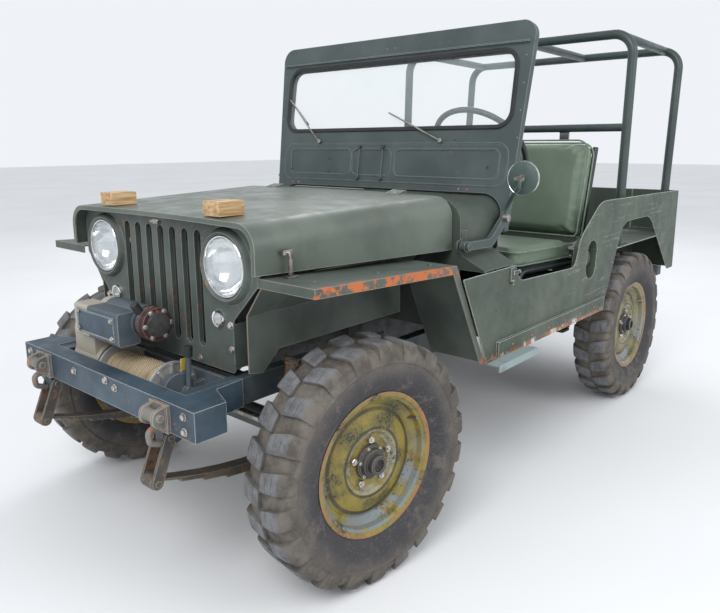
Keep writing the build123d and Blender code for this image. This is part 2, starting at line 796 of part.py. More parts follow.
def hood_shape():
    """Hood shell with a turned-down front lip."""
    y0 = HOOD_Y0
    y1 = COWL_Y0 - GAP
    open_drop = 40
    outer = loft([hood_section(0, y0, 0), hood_section(0, y1, 1)])
    inner = loft([
        hood_section(SHEET, y0 - 1, 0, open_drop),
        hood_section(SHEET, y1 + 1, 1, open_drop),
    ])
    lip_out = extrude(hood_section(1, y0, 0), 5, dir=(0, 1, 0))
    lip_in = extrude(hood_section(15, y0 - 1, 0, open_drop), 8, dir=(0, 1, 0))
    strap_points = [
        (HINGE_Y - 45, HOOD_TOP1 - 1),
        (HINGE_Y - 45, HOOD_TOP1 + 5),
        (HINGE_Y, HINGE_Z + HINGE_R),
        (HINGE_Y, HINGE_Z - HINGE_R),
        (HINGE_Y - 7, HOOD_TOP1),
    ]
    strap = side_plate(strap_points, HINGE_X - 30, HINGE_X + 30)
    barrel = rod((HINGE_X - 30, HINGE_Y, HINGE_Z), (HINGE_X + 30, HINGE_Y, HINGE_Z), HINGE_R)
    return (outer - inner) + (lip_out - lip_in) + both(strap + barrel)


def hood_blocks_shape():
    """Two wooden rests for the folded windshield, on the hood's front."""
    z = HOOD_TOP0 + 7
    return both(block(BLOCK_X - 38, BLOCK_X + 38, -262, -172, z, z + BLOCK_H))


def slot_face(x, grow):
    """One upright grille slot in front view, drawn larger by grow."""
    z = (SLOT_Z0 + SLOT_Z1) / 2
    slot = SlotOverall(SLOT_Z1 - SLOT_Z0 + grow, SLOT_W + grow)
    return Plane.XZ * (Pos(x, z) * Rot(0, 0, 90) * slot)


def grille_shape():
    """Slotted grille panel with lamp rings and side flanges."""
    top = HOOD_TOP0 - SHEET - GAP
    w = GRILLE_HALF_W
    low = GRILLE_LOW_HALF_W
    y0 = GRILLE_Y
    right = [(low, GRILLE_Z0), (low, 800), (w, 925), (w, top)]
    left = [(-x, z) for x, z in reversed(right)]
    radii = [12, 30, 20, 66, 66, 20, 30, 12]
    plate = front_plate(right + left, y0, y0 + SHEET, radii)
    for i in range(SLOT_COUNT):
        x = (i - (SLOT_COUNT - 1) / 2) * SLOT_PITCH
        hole = Pos(0, fa(y0) - 1, 0) * slot_face(x, 0)
        plate = plate - extrude(hole, 8, dir=(0, 1, 0))
        ring = Pos(0, fa(y0), 0) * (slot_face(x, 6) - slot_face(x, 0))
        plate = plate + extrude(ring, 16, dir=(0, 1, 0))
    bezel_points = [
        (0, BEZEL_R),
        (-14, BEZEL_R - 8),
        (-20, LAMP_R + 12),
        (-16, LAMP_R + 6),
        (4, LAMP_R + 6),
        (4, BEZEL_R),
    ]
    for side in (-1, 1):
        x = side * LAMP_X
        bezel = turned(bezel_points, (x, y0, LAMP_Z), "y")
        hole = rod((x, y0 - 10, LAMP_Z), (x, y0 + 12, LAMP_Z), LAMP_R + 6)
        x = side * MARKER_X
        marker = rod((x, y0 - 10, MARKER_Z), (x, y0 + 12, MARKER_Z), MARKER_R + 2)
        plate = plate - hole - marker + bezel
    flange = block(low - 4, low, y0, y0 + 60, GRILLE_Z0 + 14, 790)
    return plate + both(flange)


def lamps_shape():
    """Headlamps and round marker lamps, each one closed body."""
    head = [
        (-24, 0),
        (-21, LAMP_R * 0.5),
        (-13, LAMP_R),
        (-6, LAMP_R + 5),
        (4, LAMP_R + 5),
        (20, LAMP_R),
        (58, 40),
        (66, 0),
    ]
    mark = [
        (-16, 0),
        (-14, MARKER_R - 8),
        (-4, MARKER_R),
        (8, MARKER_R),
        (26, MARKER_R - 8),
        (26, 0),
    ]
    shapes = []
    for side in (-1, 1):
        shapes.append(turned(head, (side * LAMP_X, GRILLE_Y, LAMP_Z), "y"))
        shapes.append(turned(mark, (side * MARKER_X, GRILLE_Y, MARKER_Z), "y"))
    return shapes


def fender_shape():
    """Left fender: top shelf with lip, rear slope and inner splash panel."""
    t = SHEET
    table = [(FENDER_Y0, FENDER_Z0), (FENDER_Y1, FENDER_Z1), (FENDER_FOOT_Y, SILL_Z)]
    inner_x = 480
    under = [(FENDER_FOOT_Y - 6, SILL_Z), (FENDER_Y1 - 3, FENDER_Z1 - t), (FENDER_Y0, FENDER_Z0 - t)]
    skin = side_plate(table + under, inner_x, FENDER_OUT_X)
    lip_under = [
        (FENDER_FOOT_Y - 24, SILL_Z),
        (FENDER_Y1 - 18, FENDER_Z1 - FENDER_LIP),
        (FENDER_Y0, FENDER_Z0 - FENDER_LIP),
    ]
    lip = side_plate(table + lip_under, FENDER_OUT_X - t, FENDER_OUT_X)
    lip_z = FENDER_Z0 - FENDER_LIP
    front = block(inner_x, FENDER_OUT_X, FENDER_Y0, FENDER_Y0 + t, lip_z, FENDER_Z0 - 1)
    x0 = APRON_X
    x1 = APRON_X + t
    apron_points = [(inner_x + 4, 936), (x0, 822), (x0, 700), (x1, 700), (x1, 820), (inner_x + 4, 930)]
    apron = front_plate(apron_points, GRILLE_Y + 8, 470)
    low = side_plate([(-240, 702), (-240, 650), (-190, 640), (-120, 702)], x0, x1)
    return skin + lip + front + apron + low


# Cowl, floor, body sides

def cowl_outline(inset):
    """Closed front-view outline of the cowl, drawn inwards by an inset."""
    w = COWL_HALF_W - inset
    top = COWL_TOP_Z - inset
    out = BODY_HALF_W - inset
    right = [(w, top), (w, SHOULDER_IN_Z), (out, SHOULDER_Z)]
    return [(-x, z) for x, z in reversed(right)] + right


def wall_outline(half, bottom, top):
    """Upright rectangle in front view, for plates across the cowl."""
    return [(-half, bottom), (-half, top), (half, top), (half, bottom)]


def windshield_bracket():
    """Left pivot bracket of the windshield with its pin."""
    x = COWL_HALF_W
    y0 = COWL_Y0
    plate = block(x - 1, x + 7, y0 + 2, y0 + 30, 932, 1004)
    front = WS_PIVOT_Y - 22
    ear_points = [(front, 930), (y0 + 30, 930), (y0 + 30, 974), (front, 974)]
    ear = side_plate(ear_points, x + 1, x + 7, [18, 4, 4, 18])
    place = (WS_PIVOT_Y, WS_PIVOT_Z)
    pin = rod((x + 3, *place), (WS_ARM_X + 12, *place), WS_PIN_R)
    head = rod((WS_ARM_X + 11, *place), (WS_ARM_X + 18, *place), WS_PIN_R + 6)
    return plate + ear + pin + head


def dash_dials():
    """Round gauge housings standing out of the dash."""
    y0 = COWL_Y1 - 20
    dials = [rod((60, y0, 1010), (60, y0 + 19, 1010), 48)]
    for x in (-30, 150):
        for z in (975, 1045):
            dials.append(rod((x, y0, z), (x, y0 + 16, z), 24))
    return joined(dials)


def cowl_shape():
    """Domed cowl, firewall, dash, hood hinge leaves and windshield brackets."""
    r = COWL_R
    radii = [3, 20, r, r, 20, 3]
    inner_radii = [2, 18, r - SHEET, r - SHEET, 18, 2]
    y0 = COWL_Y0
    y1 = COWL_Y1
    outer = front_plate(cowl_outline(0), y0, y1, radii)
    open_low = [(x, z if z > SHOULDER_Z else z - 2) for x, z in cowl_outline(SHEET)]
    inner = front_plate(open_low, y0 - 1, y1 + 1, inner_radii)
    notch_points = [
        (765, SHOULDER_Z - 10),
        (790, 1000),
        (y1 + 9, 1000),
        (y1 + 9, SHOULDER_Z - 10),
    ]
    notch = side_plate(notch_points, COWL_HALF_W - 30, BODY_HALF_W + 5)
    shell = (outer - inner) - both(notch)
    wall_r = r - 2
    fire_points = wall_outline(COWL_HALF_W - 2, 640, COWL_TOP_Z - 3)
    fire = front_plate(fire_points, y0, y0 + SHEET, [2, wall_r, wall_r, 2])
    toe_points = [
        (y0, 642),
        (y0 + 4, 642),
        (TOE_END_Y, FLOOR_Z),
        (TOE_END_Y - 4, FLOOR_Z - 4),
        (y0, 636),
    ]
    toe_half = BODY_HALF_W - SHEET
    toe = side_plate(toe_points, -toe_half, toe_half)
    dash_r = r - SHEET
    dash_points = wall_outline(COWL_HALF_W - SHEET, 905, COWL_TOP_Z - SHEET)
    dash = front_plate(dash_points, y1 - 14, y1 - 10, [20, dash_r, dash_r, 20])
    edge = COWL_HALF_W - 40
    ledge_points = [
        (-BODY_HALF_W + 3, SHOULDER_Z),
        (-COWL_HALF_W, SHOULDER_IN_Z - 2),
        (-edge, SHOULDER_IN_Z - 2),
        (-edge, SHOULDER_Z),
    ]
    ledge = front_plate(ledge_points, y0, y0 + SHEET)
    leaf = block(HINGE_X - 30, HINGE_X + 30, y0 + 8, y0 + 50, COWL_TOP_Z - 2, COWL_TOP_Z + 6)
    tunnel = tunnel_prism(0)
    shape = shell + (fire - tunnel) + dash + dash_dials() + both(ledge) + (toe - tunnel)
    column_low, column_top = column_ends()
    shape = shape - rod(column_low, column_top, COLUMN_R + 4)
    return shape + both(windshield_bracket() + leaf)


def body_side_shape():
    """Left body side with door cut-out, wheel opening and filler recess."""
    top = RAIL_Z
    points = [
        (FENDER_FOOT_Y + 4, SILL_Z),
        (ARCH_FRONT, SILL_Z - 6),
        (ARCH_FRONT + 200, 931),
        (ARCH_REAR - 355, 931),
        (ARCH_REAR, 598),
        (BODY_REAR_Y, 598),
        (BODY_REAR_Y, top - 11),
        (DOOR_REAR, top),
        (DOOR_REAR - 200, 906),
        (DOOR_REAR - 245, 785),
        (795, 803),
        (762, SHOULDER_Z),
        (FENDER_Y1 + 26, SHOULDER_Z),
    ]
    radii = [6, 18, 120, 160, 18, 8, 14, 170, 110, 50, 58, 4, 4]
    x1 = BODY_HALF_W
    panel = side_plate(points, x1 - SHEET, x1, radii)
    oval_place = Pos(fa(FILLER_Y), FILLER_Z) * Rot(0, 0, 82)
    oval = oval_place * SlotOverall(172, 104)
    wide_oval = oval_place * SlotOverall(180, 112)
    hole = Pos(x1 - 20, 0, 0) * extrude(Plane.YZ * oval, 40, dir=(1, 0, 0))
    cup = Pos(x1 - 60, 0, 0) * extrude(Plane.YZ * (wide_oval - oval), 57, dir=(1, 0, 0))
    cup_end = Pos(x1 - 64, 0, 0) * extrude(Plane.YZ * wide_oval, 4.5, dir=(1, 0, 0))
    cap = rod((x1 - 61, FILLER_Y, FILLER_Z + 4), (x1 - 22, FILLER_Y, FILLER_Z + 4), 30)
    rail_start = WHEELHOUSE_Y0 + 60
    rail_points = [
        (rail_start, top - 3),
        (BODY_REAR_Y, top - 14),
        (BODY_REAR_Y, top - 34),
        (rail_start, top - 23),
    ]
    rail_top = side_plate(rail_points, x1 - 22, x1 - SHEET + 1)
    rear = block(GATE_HALF_W + GAP, x1, BODY_REAR_Y - SHEET, BODY_REAR_Y, 598, top - 12)
    out = x1 - SHEET + 1
    y0 = WHEELHOUSE_Y0
    house_top = block(WHEELHOUSE_X, out, y0, BODY_REAR_Y - SHEET, WHEELHOUSE_Z - SHEET, WHEELHOUSE_Z)
    house_points = [
        (y0, FLOOR_Z),
        (y0 + 120, FLOOR_Z),
        (y0 + 140, CARGO_FLOOR_Z),
        (BODY_REAR_Y - SHEET, CARGO_FLOOR_Z),
        (BODY_REAR_Y - SHEET, WHEELHOUSE_Z),
        (y0, WHEELHOUSE_Z),
    ]
    house_side = side_plate(house_points, WHEELHOUSE_X, WHEELHOUSE_X + SHEET)
    house_front = block(WHEELHOUSE_X, out, y0, y0 + 4, FLOOR_Z, WHEELHOUSE_Z)
    sill = block(x1 - SHEET, x1 + 10, 640, ARCH_FRONT - 6, SILL_Z - 2, SILL_Z + 60)
    tread = block(x1 - 1, x1 + STEP_W, STEP_Y0, STEP_Y1, SILL_Z - 2, SILL_Z + 4)
    apron = block(x1 + STEP_W - 4, x1 + STEP_W, STEP_Y0, STEP_Y1, SILL_Z - 22, SILL_Z + 3)
    house = house_top + house_side + house_front
    return (panel - hole) + cup + cup_end + cap + rail_top + rear + house + sill + tread + apron


def tunnel_prism(inset):
    """Gearbox tunnel as a closed prism, drawn inwards by an inset."""
    table = [(550, FLOOR_Z - 60), (550, 700), (765, 700), (1020, 640), (1200, FLOOR_Z), (1200, FLOOR_Z - 60)]
    moved = [(d, z - inset if z >= FLOOR_Z else z) for d, z in table]
    return side_plate(moved, -130 + inset, 110 - inset)


def floor_shape():
    """Front floor, tunnel, riser, cargo floor and rear sill."""
    x1 = BODY_HALF_W - SHEET
    front = block(-x1, x1, TOE_END_Y, WHEELHOUSE_Y0, FLOOR_Z - SHEET, FLOOR_Z)
    half = WHEELHOUSE_X
    rise_y = WHEELHOUSE_Y0 + 128
    middle = block(-half, half, WHEELHOUSE_Y0 - 1, rise_y + SHEET, FLOOR_Z - SHEET, FLOOR_Z)
    riser = block(-half, half, rise_y, rise_y + SHEET, FLOOR_Z - SHEET, CARGO_FLOOR_Z)
    rear = block(-half, half, rise_y, BODY_REAR_Y - 40, CARGO_FLOOR_Z - SHEET, CARGO_FLOOR_Z)
    sill = block(-GATE_HALF_W, GATE_HALF_W, BODY_REAR_Y - 41, BODY_REAR_Y - SHEET, 600, CARGO_FLOOR_Z)
    plain = front + middle + riser + rear + sill
    solid = tunnel_prism(0) & block(-140, 120, COWL_Y0 + SHEET, 1300, FLOOR_Z - SHEET, 720)
    return (plain + solid) - tunnel_prism(SHEET)


def tailgate_shape():
    """Drop-down tailgate, a framed panel with a pressed rib and hinge barrels."""
    half = GATE_HALF_W
    y0 = BODY_REAR_Y - SHEET
    z0 = CARGO_FLOOR_Z + 8
    panel = block(-half, half, y0, y0 + 4, z0, GATE_TOP_Z)
    frame = front_plate(wall_outline(half, z0, GATE_TOP_Z), y0, y0 + GATE_T)
    window = wall_outline(half - 42, z0 + 36, GATE_TOP_Z - 36)
    frame = frame - front_plate(window, y0 - 1, y0 + GATE_T + 1, 30)
    rib = front_plate(wall_outline(half - 90, 800, 880), y0 + 3, y0 + 14, 30)
    place = (GATE_HINGE_Y, GATE_HINGE_Z)
    barrel = rod((HINGE_X - 30, *place), (HINGE_X + 30, *place), HINGE_R)
    return panel + frame + rib + both(barrel)


# Windshield

def ws_place():
    """Windshield plane: local x across, local y up the glass, z to the front."""
    lean = math.radians(WS_LEAN)
    origin = (0, fa(WS_Y), WS_TOP_Z)
    return Plane(origin=origin, x_dir=(1, 0, 0), z_dir=(0, -math.cos(lean), math.sin(lean)))


def windshield_frame_shape():
    """Pressed frame with arch over the cowl, drip lip and pivot arms."""
    place = ws_place()
    foot = -(WS_TOP_Z - WS_LEG_Z) / math.cos(math.radians(WS_LEAN))
    top = WS_TOP_HALF_W
    low = WS_LOW_HALF_W + 8
    outer = outline([(-low, foot), (low, foot), (top, 0), (-top, 0)], [14, 14, 58, 58])
    arch_half = COWL_HALF_W + 6
    arch_r = COWL_R + 6
    arch_points = [(-arch_half, foot - 20), (arch_half, foot - 20), (arch_half, -639), (-arch_half, -639)]
    arch = outline(arch_points, [4, 4, arch_r, arch_r])
    glass = RectangleRounded(2 * GLASS_HALF_W, GLASS_BOTTOM - GLASS_TOP, GLASS_R)
    glass = Pos(0, -(GLASS_TOP + GLASS_BOTTOM) / 2) * glass
    body = extrude(place * (outer - arch - glass), WS_T / 2, both=True)
    panels = ((-372, 384), (-60, 216), (322, 500))
    for x, width in panels:
        press = place * (Pos(x, -530) * RectangleRounded(width, 112, 26))
        press = Pos(*(place.z_dir * (WS_T / 2))) * press
        body = body - extrude(press, 3, both=True)
    lip_face = Pos(0, -GLASS_TOP + 23.5) * Rectangle(2 * top - 44, 7)
    lip = extrude(place * lip_face, WS_T / 2 + 12)
    body = body + lip
    arm_line = [
        (WS_PIVOT_Y, WS_PIVOT_Z),
        (WS_PIVOT_Y + 165, WS_PIVOT_Z - 4),
        (WS_Y - 115, 1040),
    ]
    width = 15
    upper = [(d, z + width) for d, z in arm_line]
    lower = [(d + 14, z - width) for d, z in reversed(arm_line)]
    arm = side_plate(upper + lower, WS_ARM_X - 14, WS_ARM_X + 4, [10, 60, 3, 3, 70, 10])
    pivot = (WS_PIVOT_Y, WS_PIVOT_Z)
    boss = rod((WS_ARM_X - 14, *pivot), (WS_ARM_X + 6, *pivot), 19)
    bore = rod((WS_ARM_X - 20, *pivot), (WS_ARM_X + 10, *pivot), WS_PIN_R + 0.4)
    return body + both(arm + boss - bore)


def windshield_glass_shape():
    """One-piece glass seated in the frame."""
    pane = RectangleRounded(2 * GLASS_HALF_W, GLASS_BOTTOM - GLASS_TOP, GLASS_R)
    pane = Pos(0, -(GLASS_TOP + GLASS_BOTTOM) / 2) * pane
    return extrude(ws_place() * pane, GLASS_T / 2, both=True)


def wipers_shape():
    """Two wiper arms with blades lying on the glass."""
    place = ws_place()
    shapes = []
    for px, tx, pz, tz in ((-375, -600, -439, -240), (302, 20, -439, -320)):
        start = place.from_local_coords((px, pz, WS_T / 2))
        knee = place.from_local_coords((px, pz, WS_T / 2 + 16))
        tip = place.from_local_coords((tx, tz, 12))
        spindle = Plane(origin=start, z_dir=knee - start)
        body = extrude(spindle * Circle(9), (knee - start).length, dir=(knee - start).normalized())
        arm = Plane(origin=knee, z_dir=tip - knee)
        body = body + extrude(arm * Circle(4.5), (tip - knee).length, dir=(tip - knee).normalized())
        shapes.append(body)
    return Compound(children=shapes)


def side_mirror_shape():
    """Round mirror head on a stem clamped to the left pivot arm."""
    x = 752
    d = 712
    z = 1184
    head_points = [(-16, 0), (-12, MIRROR_R * 0.6), (-4, MIRROR_R), (6, MIRROR_R), (6, 0)]
    head = turned(head_points, (x, d, z), "y")
    clamp_d = WS_Y - 142
    foot = (WS_ARM_X + 14, clamp_d, 1030)
    stem = bent_tube([foot, (WS_ARM_X + 20, 800, 1080), (x, d - 20, z - 30), (x, d - 20, z)], 24, 7)
    knob = rod((x, d - 30, z), (x, d - 8, z), 11)
    clamp = rod((WS_ARM_X + 4, clamp_d, 1030), (WS_ARM_X + 24, clamp_d, 1030), 14)
    return head + stem + knob + clamp


# Seats, cage, controls, rear

def seat_frame_shape():
    """Left seat frame of bent tube with floor feet and a seat pan."""
    x0 = SEAT_X - SEAT_W / 2 + 16
    x1 = SEAT_X + SEAT_W / 2 - 16
    r = SEAT_TUBE_R
    pieces = []
    front = SEAT_Y + 45
    back = SEAT_Y + 608
    for x in (x0, x1):
        legs = [(back, FLOOR_Z), (back, 764), (front, 792), (front, FLOOR_Z)]
        rest = [(back, 750), (back + 19, 818), (back + 139, 1280)]
        pieces.append(bent_tube([(x, d, z) for d, z in legs], 50, r))
        pieces.append(bent_tube([(x, d, z) for d, z in rest], 60, r))
    for d, z in ((front + 29, 791), (front + 455, 770), (back + 135, 1264)):
        pieces.append(rod((x0, d, z), (x1, d, z), r))
    pan_end = SEAT_Y + 540
    pan_points = [(SEAT_Y + 20, 803), (SEAT_Y + 20, PAN_Z0), (pan_end, PAN_Z1), (pan_end, 776)]
    pan = side_plate(pan_points, x0 - 8, x1 + 8)
    return joined(pieces + [pan])


def seat_cushion_shape():
    """Left seat cushion as a plain rounded slab on its pan."""
    end = SEAT_Y + 542
    points = [(SEAT_Y, PAN_Z0 + 1), (SEAT_Y, 886), (end, 862), (end, PAN_Z1)]
    return side_plate(points, SEAT_X - SEAT_W / 2, SEAT_X + SEAT_W / 2, [14, 26, 20, 10])


def seat_back_shape():
    """Left seat back, a rounded slab with round top corners against its tubes."""
    points = [
        (SEAT_Y + 548, 884),
        (SEAT_Y + 622, 866),
        (SEAT_Y + 728, 1292),
        (SEAT_Y + 650, 1316),
    ]
    x0 = SEAT_X - SEAT_W / 2
    x1 = SEAT_X + SEAT_W / 2
    slab = side_plate(points, x0, x1, [16, 20, 30, 30])
    corners = [(x0, 850), (x1, 850), (x1, 1318), (x0, 1318)]
    radii = [6, 6, SEAT_CORNER_R, SEAT_CORNER_R]
    return slab & front_plate(corners, SEAT_Y + 500, SEAT_Y + 760, radii)


def roll_cage_shape():
    """Main hoop, rear hoop, harness bar and three roof tubes."""
    x = CAGE_X - CAGE_R
    foot = WHEELHOUSE_Z
    shapes = []
    for d, top_z, lean in ((CAGE_MAIN_Y, CAGE_TOP_Z, 40), (CAGE_REAR_Y, CAGE_REAR_TOP_Z, 85)):
        z = top_z - CAGE_R
        path = [(x, d, foot + 3), (x, d + lean, z), (-x, d + lean, z), (-x, d, foot + 3)]
        shapes.append(bent_tube(path, 100, CAGE_R))
        for side in (-1, 1):
            shapes.append(block(side * x - 34, side * x + 34, d - 45, d + 45, foot, foot + 6))
    y0 = CAGE_MAIN_Y + 40
    y1 = CAGE_REAR_Y + 85
    for tx in (-600 + CAGE_R, 110, 600 - CAGE_R):
        shapes.append(rod((tx, y0, CAGE_TOP_Z - CAGE_R), (tx, y1, CAGE_REAR_TOP_Z - CAGE_R), CAGE_R - 1))
    lean_d = CAGE_MAIN_Y + 40 * (HARNESS_Z - foot) / (CAGE_TOP_Z - CAGE_R - foot)
    shapes.append(rod((-x, lean_d, HARNESS_Z), (x, lean_d, HARNESS_Z), 19))
    return joined(shapes)


def steering_wheel_shape():
    """Rim, three spokes and hub, tilted to the column."""
    rim = Torus(STEER_R - 12, 12)
    hub = Cylinder(34, 30)
    spoke = Pos((STEER_R - 12) / 2, 0, 0) * Box(STEER_R - 24, 22, 9)
    spokes = [Rot(0, 0, angle) * spoke for angle in (90, 210, 330)]
    shape = joined([rim, hub] + spokes)
    return Pos(STEER_X, fa(STEER_Y), STEER_Z) * Rot(STEER_RAKE - 90, 0, 0) * shape


def column_ends():
    """Lower and upper end of the steering column."""
    a = math.radians(STEER_RAKE)
    reach = (STEER_Y - 640) / math.cos(a)
    low = (STEER_X, STEER_Y - reach * math.cos(a), STEER_Z - reach * math.sin(a))
    top = (STEER_X, STEER_Y - 24 * math.cos(a), STEER_Z - 24 * math.sin(a))
    return low, top


def column_shape():
    """Steering column from the toe board to the wheel."""
    low, top = column_ends()
    return rod(low, top, COLUMN_R)


def levers_shape():
    """Floor gear lever and two transfer levers rising from the tunnel."""
    main = bent_tube([(0, 960, 640), (0, 1000, 760), (30, 1130, 960)], 40, 8)
    knob = Pos(30, fa(1130), 965) * Sphere(20)
    short = rod((-60, 1000, 620), (-60, 1060, 800), 7)
    return (main + knob + short) - tunnel_prism(0)


def rear_shape():
    """Rear bumperettes, drawbar and hitch plate."""
    y0 = BODY_REAR_Y - 46
    outer = [(330, y0), (640, y0), (640, y0 + 108), (330, y0 + 108)]
    inner = [(320, y0 - 1), (632, y0 - 1), (632, y0 + 100), (320, y0 + 100)]
    channel = top_plate(outer, 540, 594, [4, 30, 30, 4]) - top_plate(inner, 545, 589, [3, 24, 24, 3])
    draw = block(-60, 60, y0, y0 + 142, 560, 574)
    draw = draw - rod((0, y0 + 102, 550), (0, y0 + 102, 590), HITCH_R)
    beam = block(-350, 350, y0, y0 + 12, 536, 596)
    return draw + beam + both(channel)


def tank_shape():
    """Fuel tank under the driver's seat."""
    tank = block(200, 590, SEAT_Y + 70, SEAT_Y + 460, FLOOR_Z, 742)
    return fillet(tank.edges().filter_by(Axis.X), 40)


def tail_lamps_shape():
    """Round tail lamps on the rear corners."""
    points = [(0, 0), (0, 46), (14, 46), (24, 38), (28, 0)]
    return both(turned(points, (590, BODY_REAR_Y, 900), "y"))


def main():
    os.makedirs("parts", exist_ok=True)
    nodes = {
        "frame_rails": frame_shape(),
        "front_bumper": bumper_shape(),
        "tow_shackles": both(tow_shape()),
        "winch_body": winch_shape(),
        "winch_drum": winch_drum_shape(),
        "grille": grille_shape(),
        "lamps": Compound(children=[*lamps_shape(), *tail_lamps_shape().solids()]),
        "radiator": radiator_shape(),
        "fender_left": fender_shape(),
        "fender_right": mirrored(fender_shape()),
        "cowl": cowl_shape(),
        "body_side_left": body_side_shape(),
        "body_side_right": mirrored(body_side_shape()),
        "floor": floor_shape(),
        "engine_block": engine_shape(),
        "exhaust": exhaust_shape(),
        "fuel_tank": tank_shape(),
        "axle_front": axle_front_shape(),
        "axle_rear": axle_rear_shape(),
        "suspension": Compound(children=[*springs_shape().solids(), *shocks_shape().solids()]),
        "driveshafts": driveshafts_shape(),
        "seat_frames": both(seat_frame_shape()),
        "seat_pads": both(seat_cushion_shape()).solids() + both(seat_back_shape()).solids(),
        "roll_cage": roll_cage_shape(),
        "driver_controls": Compound(children=[column_shape(), *levers_shape().solids()]),
        "rear_bumper": rear_shape(),
        "hood": hood_shape(),
        "hood_blocks": hood_blocks_shape(),
        "windshield_frame": windshield_frame_shape(),
        "windshield_glass": windshield_glass_shape(),
        "wipers": wipers_shape(),
        "side_mirror": side_mirror_shape(),
        "tailgate": tailgate_shape(),
        "steering_wheel": steering_wheel_shape(),
        "tie_rod": tie_rod_shape(),
    }
    pins = {"left": KING_PIN_X, "right": -KING_PIN_X}
    for side, x in pins.items():
        shape = knuckle_shape()
        if side == "right":
            shape = mirrored(shape)
        nodes["knuckle_" + side] = Pos(x, fa(0), TYRE_R) * Rot(0, 0, REST_STEER) * shape
    tyre = tyre_shape()
    rim = rim_shape()
    for name, (place, flip) in wheel_places().items():
        nodes["tyre_" + name] = place * (mirrored(tyre) if flip else tyre)
        nodes["rim_" + name] = place * (mirrored(rim) if flip else rim)
    for name, shape in nodes.items():
        if isinstance(shape, list):
            shape = Compound(children=shape)
        export_step(shape, "parts/" + name + ".step")
    print(len(nodes), "nodes")


main()
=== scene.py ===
import math
import bmesh
import bpy
from mathutils import Matrix, Vector


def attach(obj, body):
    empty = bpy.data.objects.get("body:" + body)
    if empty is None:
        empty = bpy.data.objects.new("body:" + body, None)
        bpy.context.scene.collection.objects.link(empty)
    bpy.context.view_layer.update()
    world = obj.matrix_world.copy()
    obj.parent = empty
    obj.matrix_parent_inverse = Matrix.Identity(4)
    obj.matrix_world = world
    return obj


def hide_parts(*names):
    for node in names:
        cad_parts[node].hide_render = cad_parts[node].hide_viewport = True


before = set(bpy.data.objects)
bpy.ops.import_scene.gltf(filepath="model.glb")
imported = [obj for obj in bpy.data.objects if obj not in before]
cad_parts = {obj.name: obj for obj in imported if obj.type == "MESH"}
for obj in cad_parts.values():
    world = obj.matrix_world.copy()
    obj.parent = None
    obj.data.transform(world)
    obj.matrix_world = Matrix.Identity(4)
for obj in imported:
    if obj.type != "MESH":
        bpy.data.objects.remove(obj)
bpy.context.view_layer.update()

# Open 4x4 utility car with front winch and roll cage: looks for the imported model.
# Metres. +X is the car's left, -Y is its front, +Z is up.

# Sizes shared with the solids
FRONT_AXLE_Y = -1.095
WHEELBASE = 2.032
TYRE_R = 0.376
WHEEL_X = 0.640
KING_PIN_X = 0.560
REST_STEER = math.radians(-7)
LUG_COUNT = 22
NUT_CIRCLE_R = 0.070

TURN_STEPS = 96
QUARTER = math.pi / 2
MIRROR = Matrix.Diagonal((-1, 1, 1, 1))


def fa(distance):
    """Place along Y of a point this far behind the front axle, in millimetres."""
    return FRONT_AXLE_Y + distance / 1000


def at(x, y, z):
    """Matrix that moves to a point."""
    return Matrix.Translation((x, y, z))


# Mesh helpers

def linked(name, data):
    """A scene object with this data."""
    thing = bpy.data.objects.new(name, data)
    bpy.context.scene.collection.objects.link(thing)
    return thing


def new_piece(name, verts, faces, smooth=True):
    """A mesh object with its place in its mesh, doubles merged and faces outwards."""
    mesh = bpy.data.meshes.new(name)
    mesh.from_pydata([tuple(v) for v in verts], [], faces)
    bm = bmesh.new()
    bm.from_mesh(mesh)
    bmesh.ops.remove_doubles(bm, verts=bm.verts, dist=1e-6)
    bmesh.ops.recalc_face_normals(bm, faces=bm.faces)
    bm.to_mesh(mesh)
    bm.free()
    if smooth:
        mesh.shade_smooth()
    return linked(name, mesh)


def grid_faces(rings, count, around=False):
    """Faces between closed rings of points; around joins the last ring to the first."""
    faces = []
    for i in range(rings if around else rings - 1):
        j = (i + 1) % rings
        for k in range(count):
            m = (k + 1) % count
            faces.append((i * count + k, i * count + m, j * count + m, j * count + k))
    return faces


def sharpen(piece, degrees=35):
    """Smooth shading with creases kept sharp above an angle."""
    piece.data.set_sharp_from_angle(angle=math.radians(degrees))
    return piece


def circle(radius, steps):
    """Points of a circle about the origin, from the first axis."""
    angles = [2 * math.pi * i / steps for i in range(steps)]
    return [(radius * math.cos(a), radius * math.sin(a)) for a in angles]


def scaled(points):
    """Points in millimetres as points in metres."""
    return [tuple(v * 0.001 for v in p) for p in points]


def turned(name, profile, steps=TURN_STEPS):
    """Solid of revolution about X from a closed ring of (x, radius) points."""
    verts = []
    for i in range(steps):
        a = 2 * math.pi * i / steps
        verts += [(x, r * math.cos(a), r * math.sin(a)) for x, r in profile]
    return new_piece(name, verts, grid_faces(steps, len(profile), around=True))


def painted(piece, key):
    """Give a piece one material of the table."""
    piece.data.materials.clear()
    piece.data.materials.append(MATERIALS[key])
    return piece


def lathe(name, key, profile, steps=TURN_STEPS, crease=40):
    """Painted solid of revolution about X from a profile in millimetres."""
    return painted(sharpen(turned(name, scaled(profile), steps), crease), key)


def placed(piece, matrix):
    """Move a mesh to its place; a mirroring place keeps its faces outwards."""
    piece.data.transform(matrix)
    if matrix.to_3x3().determinant() < 0:
        piece.data.flip_normals()
    return piece


def faced(piece, x, distance, z):
    """Turn a shape made about X to face the front and move it to its place."""
    return placed(piece, at(x, fa(distance), z) @ Matrix.Rotation(QUARTER, 4, "Z"))


def copied(piece, name):
    """A second piece with its own mesh."""
    return linked(name, piece.data.copy())


def merged(name, parts):
    """One piece from several, with their materials kept."""
    with bpy.context.temp_override(active_object=parts[0], selected_editable_objects=parts):
        bpy.ops.object.join()
    parts[0].name = name
    return parts[0]


